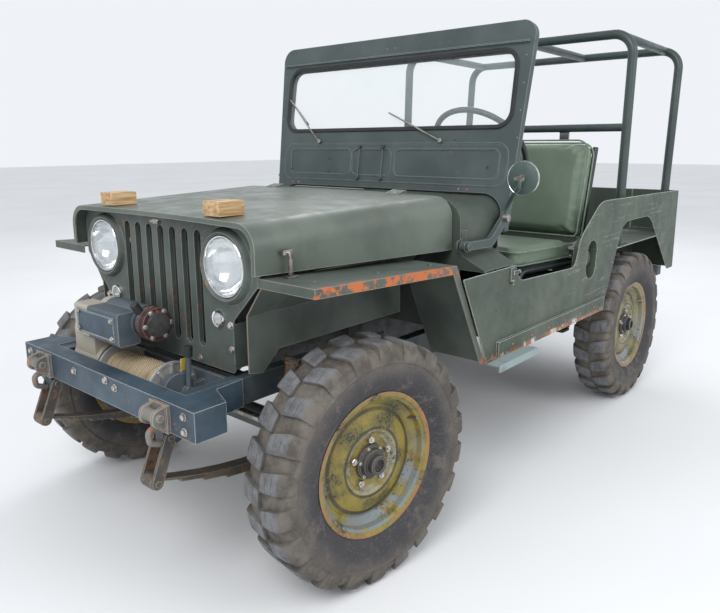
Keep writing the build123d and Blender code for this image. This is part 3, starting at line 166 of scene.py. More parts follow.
def plain_mesh(piece):
    """Bake the modifiers of a piece into its mesh."""
    depsgraph = bpy.context.evaluated_depsgraph_get()
    mesh = bpy.data.meshes.new_from_object(piece.evaluated_get(depsgraph))
    piece.modifiers.clear()
    piece.data = mesh
    return piece


# Node helpers

def plug(tree, node, inputs):
    """Fill a node's inputs, by label or number, from sockets or values."""
    for label, value in inputs.items():
        if isinstance(value, bpy.types.NodeSocket):
            tree.links.new(value, node.inputs[label])
        elif value is not None:
            node.inputs[label].default_value = value


def add_node(tree, kind, inputs=None, **settings):
    """A new node with its settings and inputs."""
    node = tree.nodes.new(kind)
    for name, value in settings.items():
        setattr(node, name, value)
    plug(tree, node, inputs or {})
    return node


def new_group(name, kind, inputs, output):
    """An empty node group; returns it, the sockets of its inputs and the socket of its result."""
    group = bpy.data.node_groups.new(name, kind)
    for label, socket, value in inputs:
        item = group.interface.new_socket(label, in_out="INPUT", socket_type=socket)
        if value is not None:
            item.default_value = value
    group.interface.new_socket(output[0], in_out="OUTPUT", socket_type=output[1])
    source, target = (group.nodes.new(end) for end in ("NodeGroupInput", "NodeGroupOutput"))
    return group, source.outputs, target.inputs[0]


def math_node(tree, operation, value, *others, clamp=False):
    """Join sockets or numbers by an operation, one after the other."""
    for other in others or (None,):
        inputs = {0: value, 1: other}
        value = add_node(tree, "ShaderNodeMath", inputs, operation=operation, use_clamp=clamp).outputs[0]
    return value


def times(tree, *values):
    """Product of sockets and numbers."""
    return math_node(tree, "MULTIPLY", *values)


def most(tree, *values):
    """Greatest of several sockets."""
    return math_node(tree, "MAXIMUM", *values)


def ranged(tree, value, low, high, out_low=0.0, out_high=1.0):
    """Map a value from one range to another, smoothly."""
    labels = ("Value", "From Min", "From Max", "To Min", "To Max")
    inputs = dict(zip(labels, (value, low, high, out_low, out_high)))
    return add_node(tree, "ShaderNodeMapRange", inputs, interpolation_type="SMOOTHSTEP").outputs[0]


def mixed(tree, factor, a, b):
    """Mix two colours; each is a socket or a colour."""
    a, b = (v if isinstance(v, bpy.types.NodeSocket) else (*v, 1) for v in (a, b))
    return add_node(tree, "ShaderNodeMix", {0: factor, 6: a, 7: b}, data_type="RGBA").outputs[2]


def layered(tree, colour, *layers):
    """A colour with others mixed over it in turn, each given as (mask, colour)."""
    for mask, over in layers:
        colour = mixed(tree, mask, colour, over)
    return colour


def on_object(tree):
    """The point's place on its object."""
    return add_node(tree, "ShaderNodeTexCoord").outputs["Object"]


def place_axis(tree, axis):
    """One coordinate of that place."""
    return add_node(tree, "ShaderNodeSeparateXYZ", {0: on_object(tree)}).outputs[axis]


def stretched(tree, scale, turn=(0.0, 0.0, 0.0)):
    """That place turned and scaled unevenly."""
    inputs = {"Vector": on_object(tree), "Rotation": turn, "Scale": scale}
    return add_node(tree, "ShaderNodeMapping", inputs).outputs[0]


def noise(tree, scale, detail=4.0, roughness=0.55, vector=None):
    """Noise value over the object, about 0.5 on average."""
    if vector is None:
        vector = on_object(tree)
    inputs = {"Vector": vector, "Scale": scale, "Detail": detail, "Roughness": roughness}
    return add_node(tree, "ShaderNodeTexNoise", inputs).outputs[0]


def patches(tree, low, high, *texture, out=(0.0, 1.0)):
    """Noise of this texture, mapped from its range low to high."""
    return ranged(tree, noise(tree, *texture), low, high, *out)


def waves(tree, scale, distortion=None, **settings):
    """Wave bands over the object."""
    inputs = {"Vector": on_object(tree), "Scale": scale, "Distortion": distortion}
    return add_node(tree, "ShaderNodeTexWave", inputs, **settings).outputs["Fac"]


# Shader groups

def mask_group(name, **values):
    """An empty shader group that gives a mask from named numbers."""
    inputs = [(label.replace("_", " "), "NodeSocketFloat", value) for label, value in values.items()]
    return new_group(name, "ShaderNodeTree", inputs, ("Mask", "NodeSocketFloat"))


def edge_wear_group():
    """Mask of worn edges, from the turn of the surface near each point."""
    tree, given, result = mask_group("edge_wear", Width=0.004, Breakup=30.0, Amount=0.5)
    rounded = add_node(tree, "ShaderNodeBevel", {"Radius": given["Width"]}, samples=4).outputs[0]
    flat = add_node(tree, "ShaderNodeNewGeometry").outputs["Normal"]
    dot = add_node(tree, "ShaderNodeVectorMath", {0: rounded, 1: flat}, operation="DOT_PRODUCT")
    edge = ranged(tree, dot.outputs["Value"], 0.995, 0.86)
    level = math_node(tree, "SUBTRACT", 1.0, given["Amount"])
    rough = times(tree, noise(tree, given["Breakup"], 6.0, 0.7), 1.6)
    broken = ranged(tree, rough, level, math_node(tree, "ADD", level, 0.08))
    tree.links.new(times(tree, edge, broken), result)
    return tree


def chips_group():
    """Mask of paint chips and scratches in patches."""
    tree, given, result = mask_group("paint_chips", Patch_Scale=5.0, Chip_Scale=60.0, Amount=0.3)
    patch = times(tree, patches(tree, 0.42, 0.68, given["Patch Scale"], 3.0), 0.12)
    fine = math_node(tree, "ADD", noise(tree, given["Chip Scale"], 8.0, 0.72), patch)
    level = math_node(tree, "SUBTRACT", 0.78, times(tree, given["Amount"], 0.3))
    tree.links.new(ranged(tree, fine, level, math_node(tree, "ADD", level, 0.03)), result)
    return tree


def dust_group():
    """Mask of dust that grows towards the ground, broken up by noise."""
    tree, given, result = mask_group("road_dust", Top=0.9, Bottom=0.1, Scale=9.0)
    height = ranged(tree, place_axis(tree, "Z"), given["Top"], given["Bottom"])
    blotch = patches(tree, 0.3, 0.75, given["Scale"], 5.0, 0.6)
    tree.links.new(times(tree, height, blotch), result)
    return tree


GROUPS = {"wear": edge_wear_group(), "chips": chips_group(), "dust": dust_group()}


def use_group(tree, key, **values):
    """Place a shared group with its own values and return its mask."""
    node = add_node(tree, "ShaderNodeGroup", node_tree=GROUPS[key])
    plug(tree, node, {label.replace("_", " "): value for label, value in values.items()})
    return node.outputs[0]


# Material kinds

def new_material(name):
    """A node material and its tree."""
    material = bpy.data.materials.new(name)
    material.use_nodes = True
    return material, material.node_tree


def surfaced(material, colour, roughness, relief=None, others=None):
    """Feed the surface shader; relief is the height, strength and depth of a bump."""
    tree = material.node_tree
    inputs = {"Base Color": colour, "Roughness": roughness, **(others or {})}
    if relief:
        relief = dict(zip(("Height", "Strength", "Distance"), relief))
        inputs["Normal"] = add_node(tree, "ShaderNodeBump", relief).outputs[0]
    plug(tree, tree.nodes["Principled BSDF"], inputs)
    return material


def worn_paint(name, paint, faded, bare, dust, chips, edge, dust_share, mottle,
               rough=(0.42, 0.6), rust=(0.30, 0.10, 0.03)):
    """Old brushed paint with faded patches, bare edges, rust specks and road dust."""
    material, tree = new_material(name)
    cloud = patches(tree, 0.35, 0.68, mottle, 5.0)
    chip = use_group(tree, "chips", Patch_Scale=mottle * 1.7, Chip_Scale=70.0, Amount=chips)
    wear = use_group(tree, "wear", Width=0.004, Breakup=34.0, Amount=edge)
    dusty = times(tree, use_group(tree, "dust", Top=0.9, Bottom=0.15, Scale=8.0), dust_share)
    colour = layered(tree, paint, (cloud, faded), (chip, rust), (wear, bare), (dusty, dust))
    gloss = patches(tree, 0.3, 0.7, 14.0, 4.0, out=rough)
    gloss = math_node(tree, "ADD", gloss, times(tree, dusty, 0.35), clamp=True)
    brush = times(tree, noise(tree, 160.0, 3.0), 0.25)
    height = math_node(tree, "SUBTRACT", brush, most(tree, chip, wear))
    return surfaced(material, colour, gloss, (height, 0.35, 0.0006))


def worn_metal(name, light, dark, rust, rough, rust_share, metallic, scale):
    """Bare metal with darker blotches and rust."""
    material, tree = new_material(name)
    level = 0.72 - rust_share * 0.3
    rusty = patches(tree, level, level + 0.12, scale * 2.3, 8.0, 0.7)
    colour = layered(tree, light, (patches(tree, 0.35, 0.7, scale, 6.0, 0.65), dark), (rusty, rust))
    metal = times(tree, math_node(tree, "SUBTRACT", 1.0, rusty), metallic)
    gloss = ranged(tree, rusty, 0.0, 1.0, rough, 0.85)
    return surfaced(material, colour, gloss, (rusty, 0.3, 0.0005), {"Metallic": metal})


def wheel_radius(tree):
    """The distance from the wheel's axis that is stored on its mesh."""
    return add_node(tree, "ShaderNodeAttribute", attribute_name="radius").outputs["Fac"]


def rim_paint(name, paint, faded, centre, chips):
    """Rim paint with a rusty flange, painted light on the lower drop centre, dark rings of painted shade at
    the steps of the disc and a pale nut circle.
    """
    material, tree = new_material(name)
    radius = wheel_radius(tree)
    # Painted light: pale grey-blue on the drop centre, kept by height to the lower part of the wheel where
    # the barrel faces up, and broken into patches by noise.
    low = ranged(tree, place_axis(tree, "Z"), 0.44, 0.30, 0.12, 1.0)
    patchy_mask = times(tree, low, patches(tree, 0.42, 0.52, 11.0, 6.0, 0.7),
                   band(tree, radius, 0.166, 0.204, 0.004))
    nut_ring = times(tree, band(tree, radius, 0.080, 0.100, 0.004),
                     patches(tree, 0.38, 0.55, 30.0, 6.0, 0.7, out=(0.0, 0.75)))
    # Painted shade: dark rings where the drop centre steps down to the disc and at the foot of the hub dome,
    # to show their depth.
    painted_shade_rings = most(tree, band(tree, radius, 0.157, 0.164, 0.005), band(tree, radius, 0.104, 0.107, 0.006))
    painted_shade_rings = times(tree, painted_shade_rings, patches(tree, 0.3, 0.7, 12.0, 5.0, out=(0.6, 0.95)))
    flange = times(tree, ranged(tree, radius, 0.205, 0.219), patches(tree, 0.40, 0.58, 20.0, 7.0, 0.7))
    bead = ranged(tree, radius, 0.2195, 0.2215, 0.0, 0.7)
    specks = use_group(tree, "chips", Patch_Scale=14.0, Chip_Scale=120.0, Amount=chips * 0.45)
    black = use_group(tree, "chips", Patch_Scale=9.0, Chip_Scale=110.0, Amount=chips * 0.65)
    colour = layered(
        tree, paint, (patches(tree, 0.40, 0.60, 9.0, 7.0, 0.7), faded), (patchy_mask, centre),
        (nut_ring, (0.30, 0.29, 0.22)), (painted_shade_rings, (0.022, 0.020, 0.010)), (flange, (0.33, 0.135, 0.050)),
        (bead, (0.30, 0.27, 0.20)), (specks, (0.38, 0.13, 0.035)), (black, (0.034, 0.033, 0.026)))
    gloss = patches(tree, 0.3, 0.7, 18.0, 4.0, out=(0.36, 0.58))
    height = math_node(tree, "SUBTRACT", 1.0, most(tree, specks, black, flange))
    return surfaced(material, colour, gloss, (height, 0.4, 0.0006))


def tread_rubber():
    """Dusty rubber: dark sides, earth in the valleys, scrubbed blue-grey bars."""
    material, tree = new_material("tread_rubber")
    radius = wheel_radius(tree)

    def beyond(low, high, drift, *texture):
        """Mask that grows with the radius, its edge moved by noise."""
        moved = math_node(tree, "ADD", radius, times(tree, noise(tree, *texture), drift))
        return ranged(tree, moved, low, high)

    cloud = patches(tree, 0.3, 0.7, 7.0, 6.0, 0.65)
    near = mixed(tree, cloud, (0.022, 0.022, 0.027), (0.050, 0.048, 0.052))
    far = mixed(tree, cloud, (0.048, 0.043, 0.040), (0.098, 0.087, 0.080))
    # Brown scuffs on the rubber.
    patchy_mask = patches(tree, 0.52, 0.62, 12.0, 8.0, 0.75, out=(0.0, 0.65))
    soil = patches(tree, 0.35, 0.65, 15.0, 6.0, 0.65)
    earth = mixed(tree, soil, (0.066, 0.056, 0.047), (0.142, 0.124, 0.105))
    wear = patches(tree, 0.36, 0.62, 24.0, 7.0, 0.7)
    top = mixed(tree, wear, (0.092, 0.094, 0.098), (0.168, 0.172, 0.180))
    specks = times(tree, patches(tree, 0.56, 0.68, 150.0, 6.0, 0.75), 0.5)
    colour = layered(
        tree, near, (beyond(0.305, 0.355, 0.10, 6.0, 6.0, 0.7), far), (patchy_mask, (0.125, 0.105, 0.088)),
        (beyond(0.318, 0.362, 0.05, 9.0, 5.0), earth), (beyond(0.3690, 0.3835, 0.014, 45.0, 6.0, 0.7), top),
        (specks, (0.20, 0.18, 0.155)))
    gloss = ranged(tree, cloud, 0.0, 1.0, 0.6, 0.85)
    return surfaced(material, colour, gloss, (noise(tree, 190.0, 6.0, 0.7), 0.3, 0.001))


def clear_glass():
    """Thin pane seen as a faint tint with clear reflections."""
    material, tree = new_material("screen_glass")
    smear = patches(tree, 0.3, 0.8, 5.0, 5.0, out=(0.02, 0.12))
    haze = patches(tree, 0.3, 0.8, 3.0, 4.0, out=(0.10, 0.16))
    return surfaced(material, (0.75, 0.85, 0.85, 1), smear, None, {"IOR": 1.45, "Alpha": haze})


def lens_glass(name, light, dark, scale, alpha):
    """Pressed lens with vertical flutes."""
    material, tree = new_material(name)
    flutes = waves(tree, scale)
    colour = mixed(tree, patches(tree, 0.3, 0.7, 12.0, 3.0), light, dark)
    gloss = ranged(tree, flutes, 0.0, 1.0, 0.06, 0.2)
    return surfaced(material, colour, gloss, (flutes, 0.25, 0.001), {"Coat Weight": 0.6, "Alpha": alpha})


def seat_vinyl():
    """Light green vinyl with a fine grain and darker patches of dirt."""
    material, tree = new_material("seat_vinyl")
    cloud = patches(tree, 0.3, 0.7, 4.0, 5.0)
    dirt = times(tree, patches(tree, 0.58, 0.78, 26.0, 6.0, 0.7), 0.35)
    colour = layered(tree, (0.112, 0.158, 0.112), (cloud, (0.158, 0.208, 0.150)), (dirt, (0.09, 0.11, 0.07)))
    gloss = ranged(tree, cloud, 0.0, 1.0, 0.46, 0.60)
    grain = add_node(tree, "ShaderNodeTexVoronoi", {"Vector": on_object(tree), "Scale": 420.0})
    return surfaced(material, colour, gloss, (grain.outputs["Distance"], 0.18, 0.0006))


def bare_wood():
    """Pale sawn pine with grain along the block."""
    material, tree = new_material("pine")
    grain = patches(tree, 0.35, 0.65, 1.0, 6.0, 0.6, stretched(tree, (60.0, 8.0, 90.0)))
    colour = mixed(tree, grain, (0.62, 0.44, 0.24), (0.36, 0.21, 0.09))
    return surfaced(material, colour, ranged(tree, grain, 0.0, 1.0, 0.55, 0.75), (grain, 0.3, 0.0008))


def drum_rope():
    """Tan twisted rope."""
    material, tree = new_material("rope")
    twist = waves(tree, 90.0, 1.5, bands_direction="DIAGONAL")
    soil = patches(tree, 0.5, 0.75, 16.0, 5.0)
    colour = layered(tree, (0.26, 0.19, 0.11), (twist, (0.56, 0.46, 0.31)),
                     (times(tree, soil, 0.5), (0.16, 0.12, 0.08)))
    return surfaced(material, colour, ranged(tree, soil, 0.0, 1.0, 0.8, 0.95), (twist, 0.6, 0.001))


def floor_paint():
    """Pale matt floor with faint clouds."""
    material, tree = new_material("studio_floor")
    grey = patches(tree, 0.3, 0.7, 0.6, 2.0)
    return surfaced(material, mixed(tree, grey, (0.80, 0.81, 0.82), (0.84, 0.85, 0.86)), 0.9)


# Masks for tints

def band(tree, value, low, high, soft):
    """Mask that is 1 between two values."""
    rise = ranged(tree, value, low - soft, low)
    fall = ranged(tree, value, high + soft, high)
    return times(tree, rise, fall)


def off_middle(tree, none, full):
    """Mask by the distance from the car's middle plane."""
    return ranged(tree, math_node(tree, "ABSOLUTE", place_axis(tree, "X")), none, full)


def rocker_rust(tree):
    """Rust along the lower edge of the body side's strip, not on the step plate."""
    height = math_node(tree, "SUBTRACT", place_axis(tree, "Z"), times(tree, noise(tree, 6.0, 4.0), 0.03))
    stains = times(tree, off_middle(tree, 0.7265, 0.7255), patches(tree, 0.42, 0.54, 13.0, 7.0, 0.7))
    return times(tree, band(tree, height, 0.48, 0.537, 0.012), stains)


def rocker_chips(tree):
    """Pale scrapes along the same edge."""
    scrapes = times(tree, off_middle(tree, 0.7265, 0.7255), patches(tree, 0.53, 0.57, 17.0, 8.0, 0.75))
    return times(tree, band(tree, place_axis(tree, "Z"), 0.48, 0.558, 0.006), scrapes)


def step_plate(tree):
    """The step plate and its strip under the door."""
    return times(tree, off_middle(tree, 0.7255, 0.7265), patches(tree, 0.3, 0.45, 9.0, 5.0, out=(0.6, 1.0)))


def fender_rust(tree):
    """Orange rust on the fender lips and at the foot of the apron."""
    height = place_axis(tree, "Z")
    lip = most(tree, ranged(tree, height, 0.860, 0.885), ranged(tree, height, 0.615, 0.570))
    return times(tree, off_middle(tree, 0.685, 0.7015), lip, patches(tree, 0.47, 0.54, 19.0, 8.0, 0.75))


def scratches(tree):
    """Long scratches behind the door, slanting down to the rear wheel."""
    lines = noise(tree, 1.6, 5.0, 0.6, stretched(tree, (1.0, 2.2, 46.0), (0.5, 0.0, 0.0)))
    thin = band(tree, lines, 0.612, 0.622, 0.006)
    return times(tree, thin, band(tree, place_axis(tree, "Y"), 0.20, 1.30, 0.15))


def gear_case(tree):
    """The gear case's side of the winch."""
    return ranged(tree, place_axis(tree, "X"), -0.1415, -0.1425)


def core_fins(tree):
    """Upright fins across the radiator core."""
    return times(tree, waves(tree, 105.0), band(tree, place_axis(tree, "Z"), 0.695, 1.005, 0.004))


def tinted(material, mask_of, colour, share):
    """Mix a colour over a finished paint where a mask built in its tree is high."""
    tree = material.node_tree
    socket = tree.nodes["Principled BSDF"].inputs["Base Color"]
    before = socket.links[0].from_socket
    tree.links.new(mixed(tree, times(tree, mask_of(tree), share), before, colour), socket)


# Materials

PAINTS = (
    # key, name, paint, faded, bare edges, dust, chips, edge wear, dust share, mottle scale, roughness, rust
    ("body", "body_paint", (0.046, 0.060, 0.049), (0.074, 0.090, 0.074), (0.24, 0.25, 0.22),
     (0.20, 0.19, 0.15), 0.12, 0.35, 0.35, 3.0),
    ("hood", "hood_paint", (0.082, 0.101, 0.083), (0.126, 0.148, 0.124), (0.32, 0.34, 0.30),
     (0.22, 0.21, 0.17), 0.16, 0.5, 0.2, 4.0, (0.33, 0.52)),
    ("screen", "screen_frame_paint", (0.046, 0.064, 0.064), (0.070, 0.092, 0.090), (0.26, 0.28, 0.27),
     (0.20, 0.19, 0.16), 0.14, 0.4, 0.2, 4.0),
    ("grille", "grille_paint", (0.050, 0.066, 0.058), (0.082, 0.101, 0.090), (0.30, 0.31, 0.28),
     (0.20, 0.19, 0.15), 0.36, 0.5, 0.3, 5.0),
    ("bumper", "bumper_paint", (0.022, 0.042, 0.062), (0.046, 0.078, 0.108), (0.42, 0.45, 0.46),
     (0.20, 0.18, 0.15), 0.3, 0.85, 0.15, 6.0),
    ("fender", "fender_paint", (0.052, 0.067, 0.056), (0.088, 0.106, 0.090), (0.36, 0.30, 0.22),
     (0.20, 0.19, 0.15), 0.2, 0.6, 0.3, 5.0),
    ("side", "side_paint", (0.042, 0.060, 0.043), (0.072, 0.093, 0.068), (0.55, 0.56, 0.52),
     (0.20, 0.19, 0.15), 0.22, 0.95, 0.22, 3.0),
    ("cage", "cage_paint", (0.030, 0.046, 0.044), (0.050, 0.068, 0.064), (0.17, 0.18, 0.17),
     (0.14, 0.13, 0.11), 0.15, 0.2, 0.15, 3.0, (0.3, 0.48)),
    ("shackle", "shackle_paint", (0.085, 0.088, 0.084), (0.200, 0.190, 0.165), (0.48, 0.46, 0.40),
     (0.20, 0.17, 0.13), 0.5, 0.8, 0.6, 12.0, (0.42, 0.6), (0.34, 0.12, 0.035)),
    ("spring", "spring_paint", (0.030, 0.034, 0.036), (0.075, 0.066, 0.058), (0.30, 0.27, 0.24),
     (0.20, 0.17, 0.13), 0.7, 0.8, 0.6, 11.0, (0.42, 0.6), (0.17, 0.085, 0.04)),
    ("motor", "motor_paint", (0.052, 0.017, 0.016), (0.036, 0.018, 0.017), (0.20, 0.15, 0.13),
     (0.18, 0.15, 0.12), 0.4, 0.5, 0.6, 14.0),
    ("mirror_back", "mirror_back", (0.040, 0.066, 0.060), (0.072, 0.104, 0.094), (0.34, 0.36, 0.34),
     (0.2, 0.19, 0.16), 0.15, 0.4, 0.6, 12.0),
    ("gasket", "black_gasket", (0.012, 0.012, 0.013), (0.026, 0.026, 0.027), (0.06, 0.06, 0.06),
     (0.12, 0.11, 0.09), 0.0, 0.1, 0.6, 14.0, (0.5, 0.7)),
    ("piping", "seat_piping", (0.120, 0.172, 0.124), (0.165, 0.222, 0.162), (0.30, 0.35, 0.28),
     (0.2, 0.19, 0.15), 0.1, 0.2, 0.6, 12.0, (0.4, 0.55)),
    ("red", "red_primer", (0.42, 0.075, 0.050), (0.50, 0.12, 0.09), (0.5, 0.3, 0.25), (0.2, 0.18, 0.14),
     0.2, 0.3, 0.6, 30.0),
    ("tag", "yellow_tag", (0.62, 0.43, 0.03), (0.48, 0.34, 0.05), (0.7, 0.6, 0.3), (0.2, 0.18, 0.14),
     0.2, 0.3, 0.6, 30.0),
    ("alloy", "drum_alloy", (0.27, 0.27, 0.26), (0.40, 0.40, 0.38), (0.62, 0.62, 0.60), (0.2, 0.18, 0.15),
     0.2, 0.3, 0.6, 12.0, (0.32, 0.5)),
    ("dial", "dial_face", (0.018, 0.018, 0.018), (0.030, 0.030, 0.030), (0.10, 0.10, 0.10),
     (0.10, 0.09, 0.08), 0.0, 0.0, 0.6, 16.0),
    ("frame", "frame_paint", (0.022, 0.040, 0.052), (0.045, 0.070, 0.085), (0.20, 0.19, 0.18),
     (0.17, 0.15, 0.12), 0.35, 0.5, 0.6, 3.0, (0.4, 0.65)),
    ("winch", "winch_paint", (0.055, 0.072, 0.090), (0.088, 0.110, 0.132), (0.33, 0.34, 0.34),
     (0.2, 0.18, 0.15), 0.2, 0.5, 0.3, 7.0),
    ("tube", "black_tube", (0.016, 0.020, 0.022), (0.030, 0.036, 0.038), (0.12, 0.12, 0.12),
     (0.12, 0.11, 0.09), 0.1, 0.2, 0.15, 3.0, (0.28, 0.42)),
    ("hub", "hub_black", (0.010, 0.011, 0.014), (0.022, 0.024, 0.030), (0.25, 0.24, 0.23),
     (0.12, 0.10, 0.08), 0.2, 0.6, 0.6, 20.0, (0.25, 0.5)),
)
METALS = (
    # key, name, light, dark, rust, roughness, share of rust, metallic, blotch scale
    ("radiator", "radiator_metal", (0.050, 0.048, 0.046), (0.026, 0.025, 0.025), (0.09, 0.055, 0.03),
     0.45, 0.4, 0.5, 22.0),
    ("steel", "bare_steel", (0.42, 0.40, 0.37), (0.16, 0.14, 0.12), (0.28, 0.11, 0.04), 0.3, 0.4, 0.9, 22.0),
    ("cast", "castings", (0.10, 0.10, 0.10), (0.04, 0.04, 0.04), (0.12, 0.06, 0.03), 0.5, 0.4, 0.4, 22.0),
    ("chrome", "chrome_trim", (0.82, 0.82, 0.82), (0.55, 0.55, 0.55), (0.30, 0.20, 0.12),
     0.08, 0.05, 1.0, 22.0),
    ("nut", "wheel_nuts", (0.62, 0.60, 0.56), (0.30, 0.27, 0.24), (0.30, 0.14, 0.06), 0.3, 0.4, 0.9, 60.0),
    ("reflector", "lamp_mirror", (0.88, 0.89, 0.90), (0.74, 0.76, 0.78), (0.5, 0.5, 0.48),
     0.08, 0.0, 1.0, 8.0),
)
TINTS = (
    # key, mask, colour, share
    ("fender", fender_rust, (0.49, 0.125, 0.026), 0.95),
    ("side", scratches, (0.30, 0.32, 0.27), 0.8),
    ("side", step_plate, (0.27, 0.34, 0.34), 0.9),
    ("side", rocker_rust, (0.33, 0.115, 0.035), 0.9),
    ("side", rocker_chips, (0.55, 0.52, 0.46), 0.85),
    ("radiator", core_fins, (0.13, 0.125, 0.115), 1.0),
    ("winch", gear_case, (0.41, 0.37, 0.30), 0.92),
)
MATERIALS = {
    # The third colour of each rim is the pale grey-blue of the painted light on its lower drop centre.
    "rim_front": rim_paint("rim_front", (0.260, 0.200, 0.034), (0.128, 0.108, 0.030), (0.175, 0.200, 0.200),
                           0.85),
    "rim_rear": rim_paint("rim_rear", (0.255, 0.225, 0.115), (0.150, 0.138, 0.078), (0.24, 0.26, 0.26), 0.6),
    "tyre": tread_rubber(),
    "glass": clear_glass(),
    "lens": lens_glass("lamp_glass", (0.80, 0.84, 0.84), (0.62, 0.68, 0.70), 30.0, 0.3),
    "red_lens": lens_glass("red_lens", (0.45, 0.02, 0.015), (0.30, 0.015, 0.01), 40.0, 0.95),
    "vinyl": seat_vinyl(),
    "pine": bare_wood(),
    "rope": drum_rope(),
    "floor": floor_paint(),
}
MATERIALS.update({key: worn_paint(*row) for key, *row in PAINTS})
MATERIALS.update({key: worn_metal(*row) for key, *row in METALS})
for key, *tint in TINTS:
    tinted(MATERIALS[key], *tint)

NODE_MATERIALS = {
    "body": "cowl floor tailgate",
    "hood": "hood",
    "screen": "windshield_frame",
    "grille": "grille",
    "fender": "fender_left fender_right",
    "side": "body_side_left body_side_right",
    "bumper": "front_bumper",
    "radiator": "radiator",
    "frame": "frame_rails fuel_tank axle_front axle_rear driveshafts rear_bumper knuckle_left knuckle_right",
    "spring": "suspension",
    "winch": "winch_body",
    "shackle": "tow_shackles",
    "steel": "exhaust tie_rod",
    "cast": "engine_block",
    "cage": "roll_cage",
    "tube": "seat_frames driver_controls steering_wheel wipers",
    "vinyl": "seat_pads",
    "pine": "hood_blocks",
    "glass": "windshield_glass",
    "lens": "lamps",
    "chrome": "side_mirror",
    "rope": "winch_drum",
    "tyre": "tyre_front_left tyre_front_right tyre_rear_left tyre_rear_right",
    "rim_front": "rim_front_left rim_front_right",
    "rim_rear": "rim_rear_left rim_rear_right",
}
for key, names in NODE_MATERIALS.items():
    for name in names.split():
        painted(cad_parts[name], key)


# Repeating by geometry nodes

def copies_group(name, inputs):
    """An empty geometry group that takes a mesh and a material besides its other inputs."""
    inputs = [("Geometry", "Geometry"), *inputs, ("Material", "Material")]
    inputs = [(label, "NodeSocket" + kind, None) for label, kind in inputs]
    return new_group(name, "GeometryNodeTree", inputs, ("Geometry", "NodeSocketGeometry"))


def finish_copies(tree, given, result, places):
    """Put the copies on their places, make them real and give them the group's material."""
    copies = add_node(tree, "GeometryNodeInstanceOnPoints", places).outputs[0]
    real = add_node(tree, "GeometryNodeRealizeInstances", {0: copies}).outputs[0]
    coat = add_node(tree, "GeometryNodeSetMaterial", {"Geometry": real, "Material": given["Material"]})
    tree.links.new(coat.outputs[0], result)
    return tree


def ring_group():
    """Copies of a mesh turned about X at equal steps."""
    tree, given, result = copies_group("ring_of_copies", [("Count", "Int"), ("Start", "Float")])
    points = add_node(tree, "GeometryNodePoints", {"Count": given["Count"]}).outputs[0]
    step = math_node(tree, "DIVIDE", 2 * math.pi, given["Count"])
    index = add_node(tree, "GeometryNodeInputIndex").outputs[0]
    angle = math_node(tree, "ADD", times(tree, index, step), given["Start"])
    euler = add_node(tree, "ShaderNodeCombineXYZ", {"X": angle}).outputs[0]
    turn = add_node(tree, "FunctionNodeEulerToRotation", {0: euler}).outputs[0]
    places = {"Points": points, "Instance": given["Geometry"], "Rotation": turn}
    return finish_copies(tree, given, result, places)


def stud_group():
    """Copies of an object on each point, its Z turned to the point's aim."""
    tree, given, result = copies_group("studs_on_points", [("Stud", "Object")])
    stud = add_node(tree, "GeometryNodeObjectInfo", {"Object": given["Stud"]}).outputs["Geometry"]
    aim = add_node(tree, "GeometryNodeInputNamedAttribute", {"Name": "aim"}, data_type="FLOAT_VECTOR")
    aim = {"Vector": aim.outputs["Attribute"]}
    turn = add_node(tree, "FunctionNodeAlignRotationToVector", aim, axis="Z").outputs[0]
    places = {"Points": given["Geometry"], "Instance": stud, "Rotation": turn}
    return finish_copies(tree, given, result, places)


RING = ring_group()
STUDS = stud_group()


def repeated(piece, group, key, **values):
    """Run a group of copies on a piece and keep the result as its mesh."""
    values["Material"] = MATERIALS[key]
    modifier = piece.modifiers.new("copies", "NODES")
    modifier.node_group = group
    for item in group.interface.items_tree:
        if item.in_out == "INPUT" and item.name in values:
            modifier[item.identifier] = values[item.name]
    return plain_mesh(piece)


# Wheels

def curve_line(points, steps=4):
    """Smooth line through the points."""
    line = []
    ends = [points[0]] + list(points) + [points[-1]]
    for a, b, c, d in zip(ends, ends[1:], ends[2:], ends[3:]):
        for i in range(steps):
            t = i / steps
            line.append(tuple(
                0.5 * (2 * q + (r - p) * t + (2 * p - 5 * q + 4 * r - s) * t * t
                       + (3 * q - p - 3 * r + s) * t ** 3)
                for p, q, r, s in zip(a, b, c, d)
            ))
    line.append(tuple(points[-1]))
    return line


def eased(points):
    """Closed profile with each corner cut at a quarter of its sides."""
    ring = []
    for a, b in zip(points, points[1:] + points[:1]):
        for share in (0.75, 0.25):
            ring.append(tuple(p * share + q * (1 - share) for p, q in zip(a, b)))
    return ring


def tyre_carcass():
    """Casing of the tyre as a closed ring, with the thin rib on its side."""
    side = [(50, 204), (58, 211), (66, 226), (78, 243), (87.5, 264), (90.5, 288), (89.5, 311), (91.6, 314.5),
            (91.6, 318), (89, 321), (86, 334), (79, 348), (68, 357), (46, 362), (0, 363)]
    outside = scaled(curve_line(side, 3))
    inside = scaled([(46, 206), (70, 262), (74, 300), (66, 336), (0, 346)])
    ring = outside[:-1] + [(-x, r) for x, r in reversed(outside)]
    ring += [(-x, r) for x, r in inside] + inside[-2::-1]
    return painted(turned("tyre_carcass", ring), "tyre")


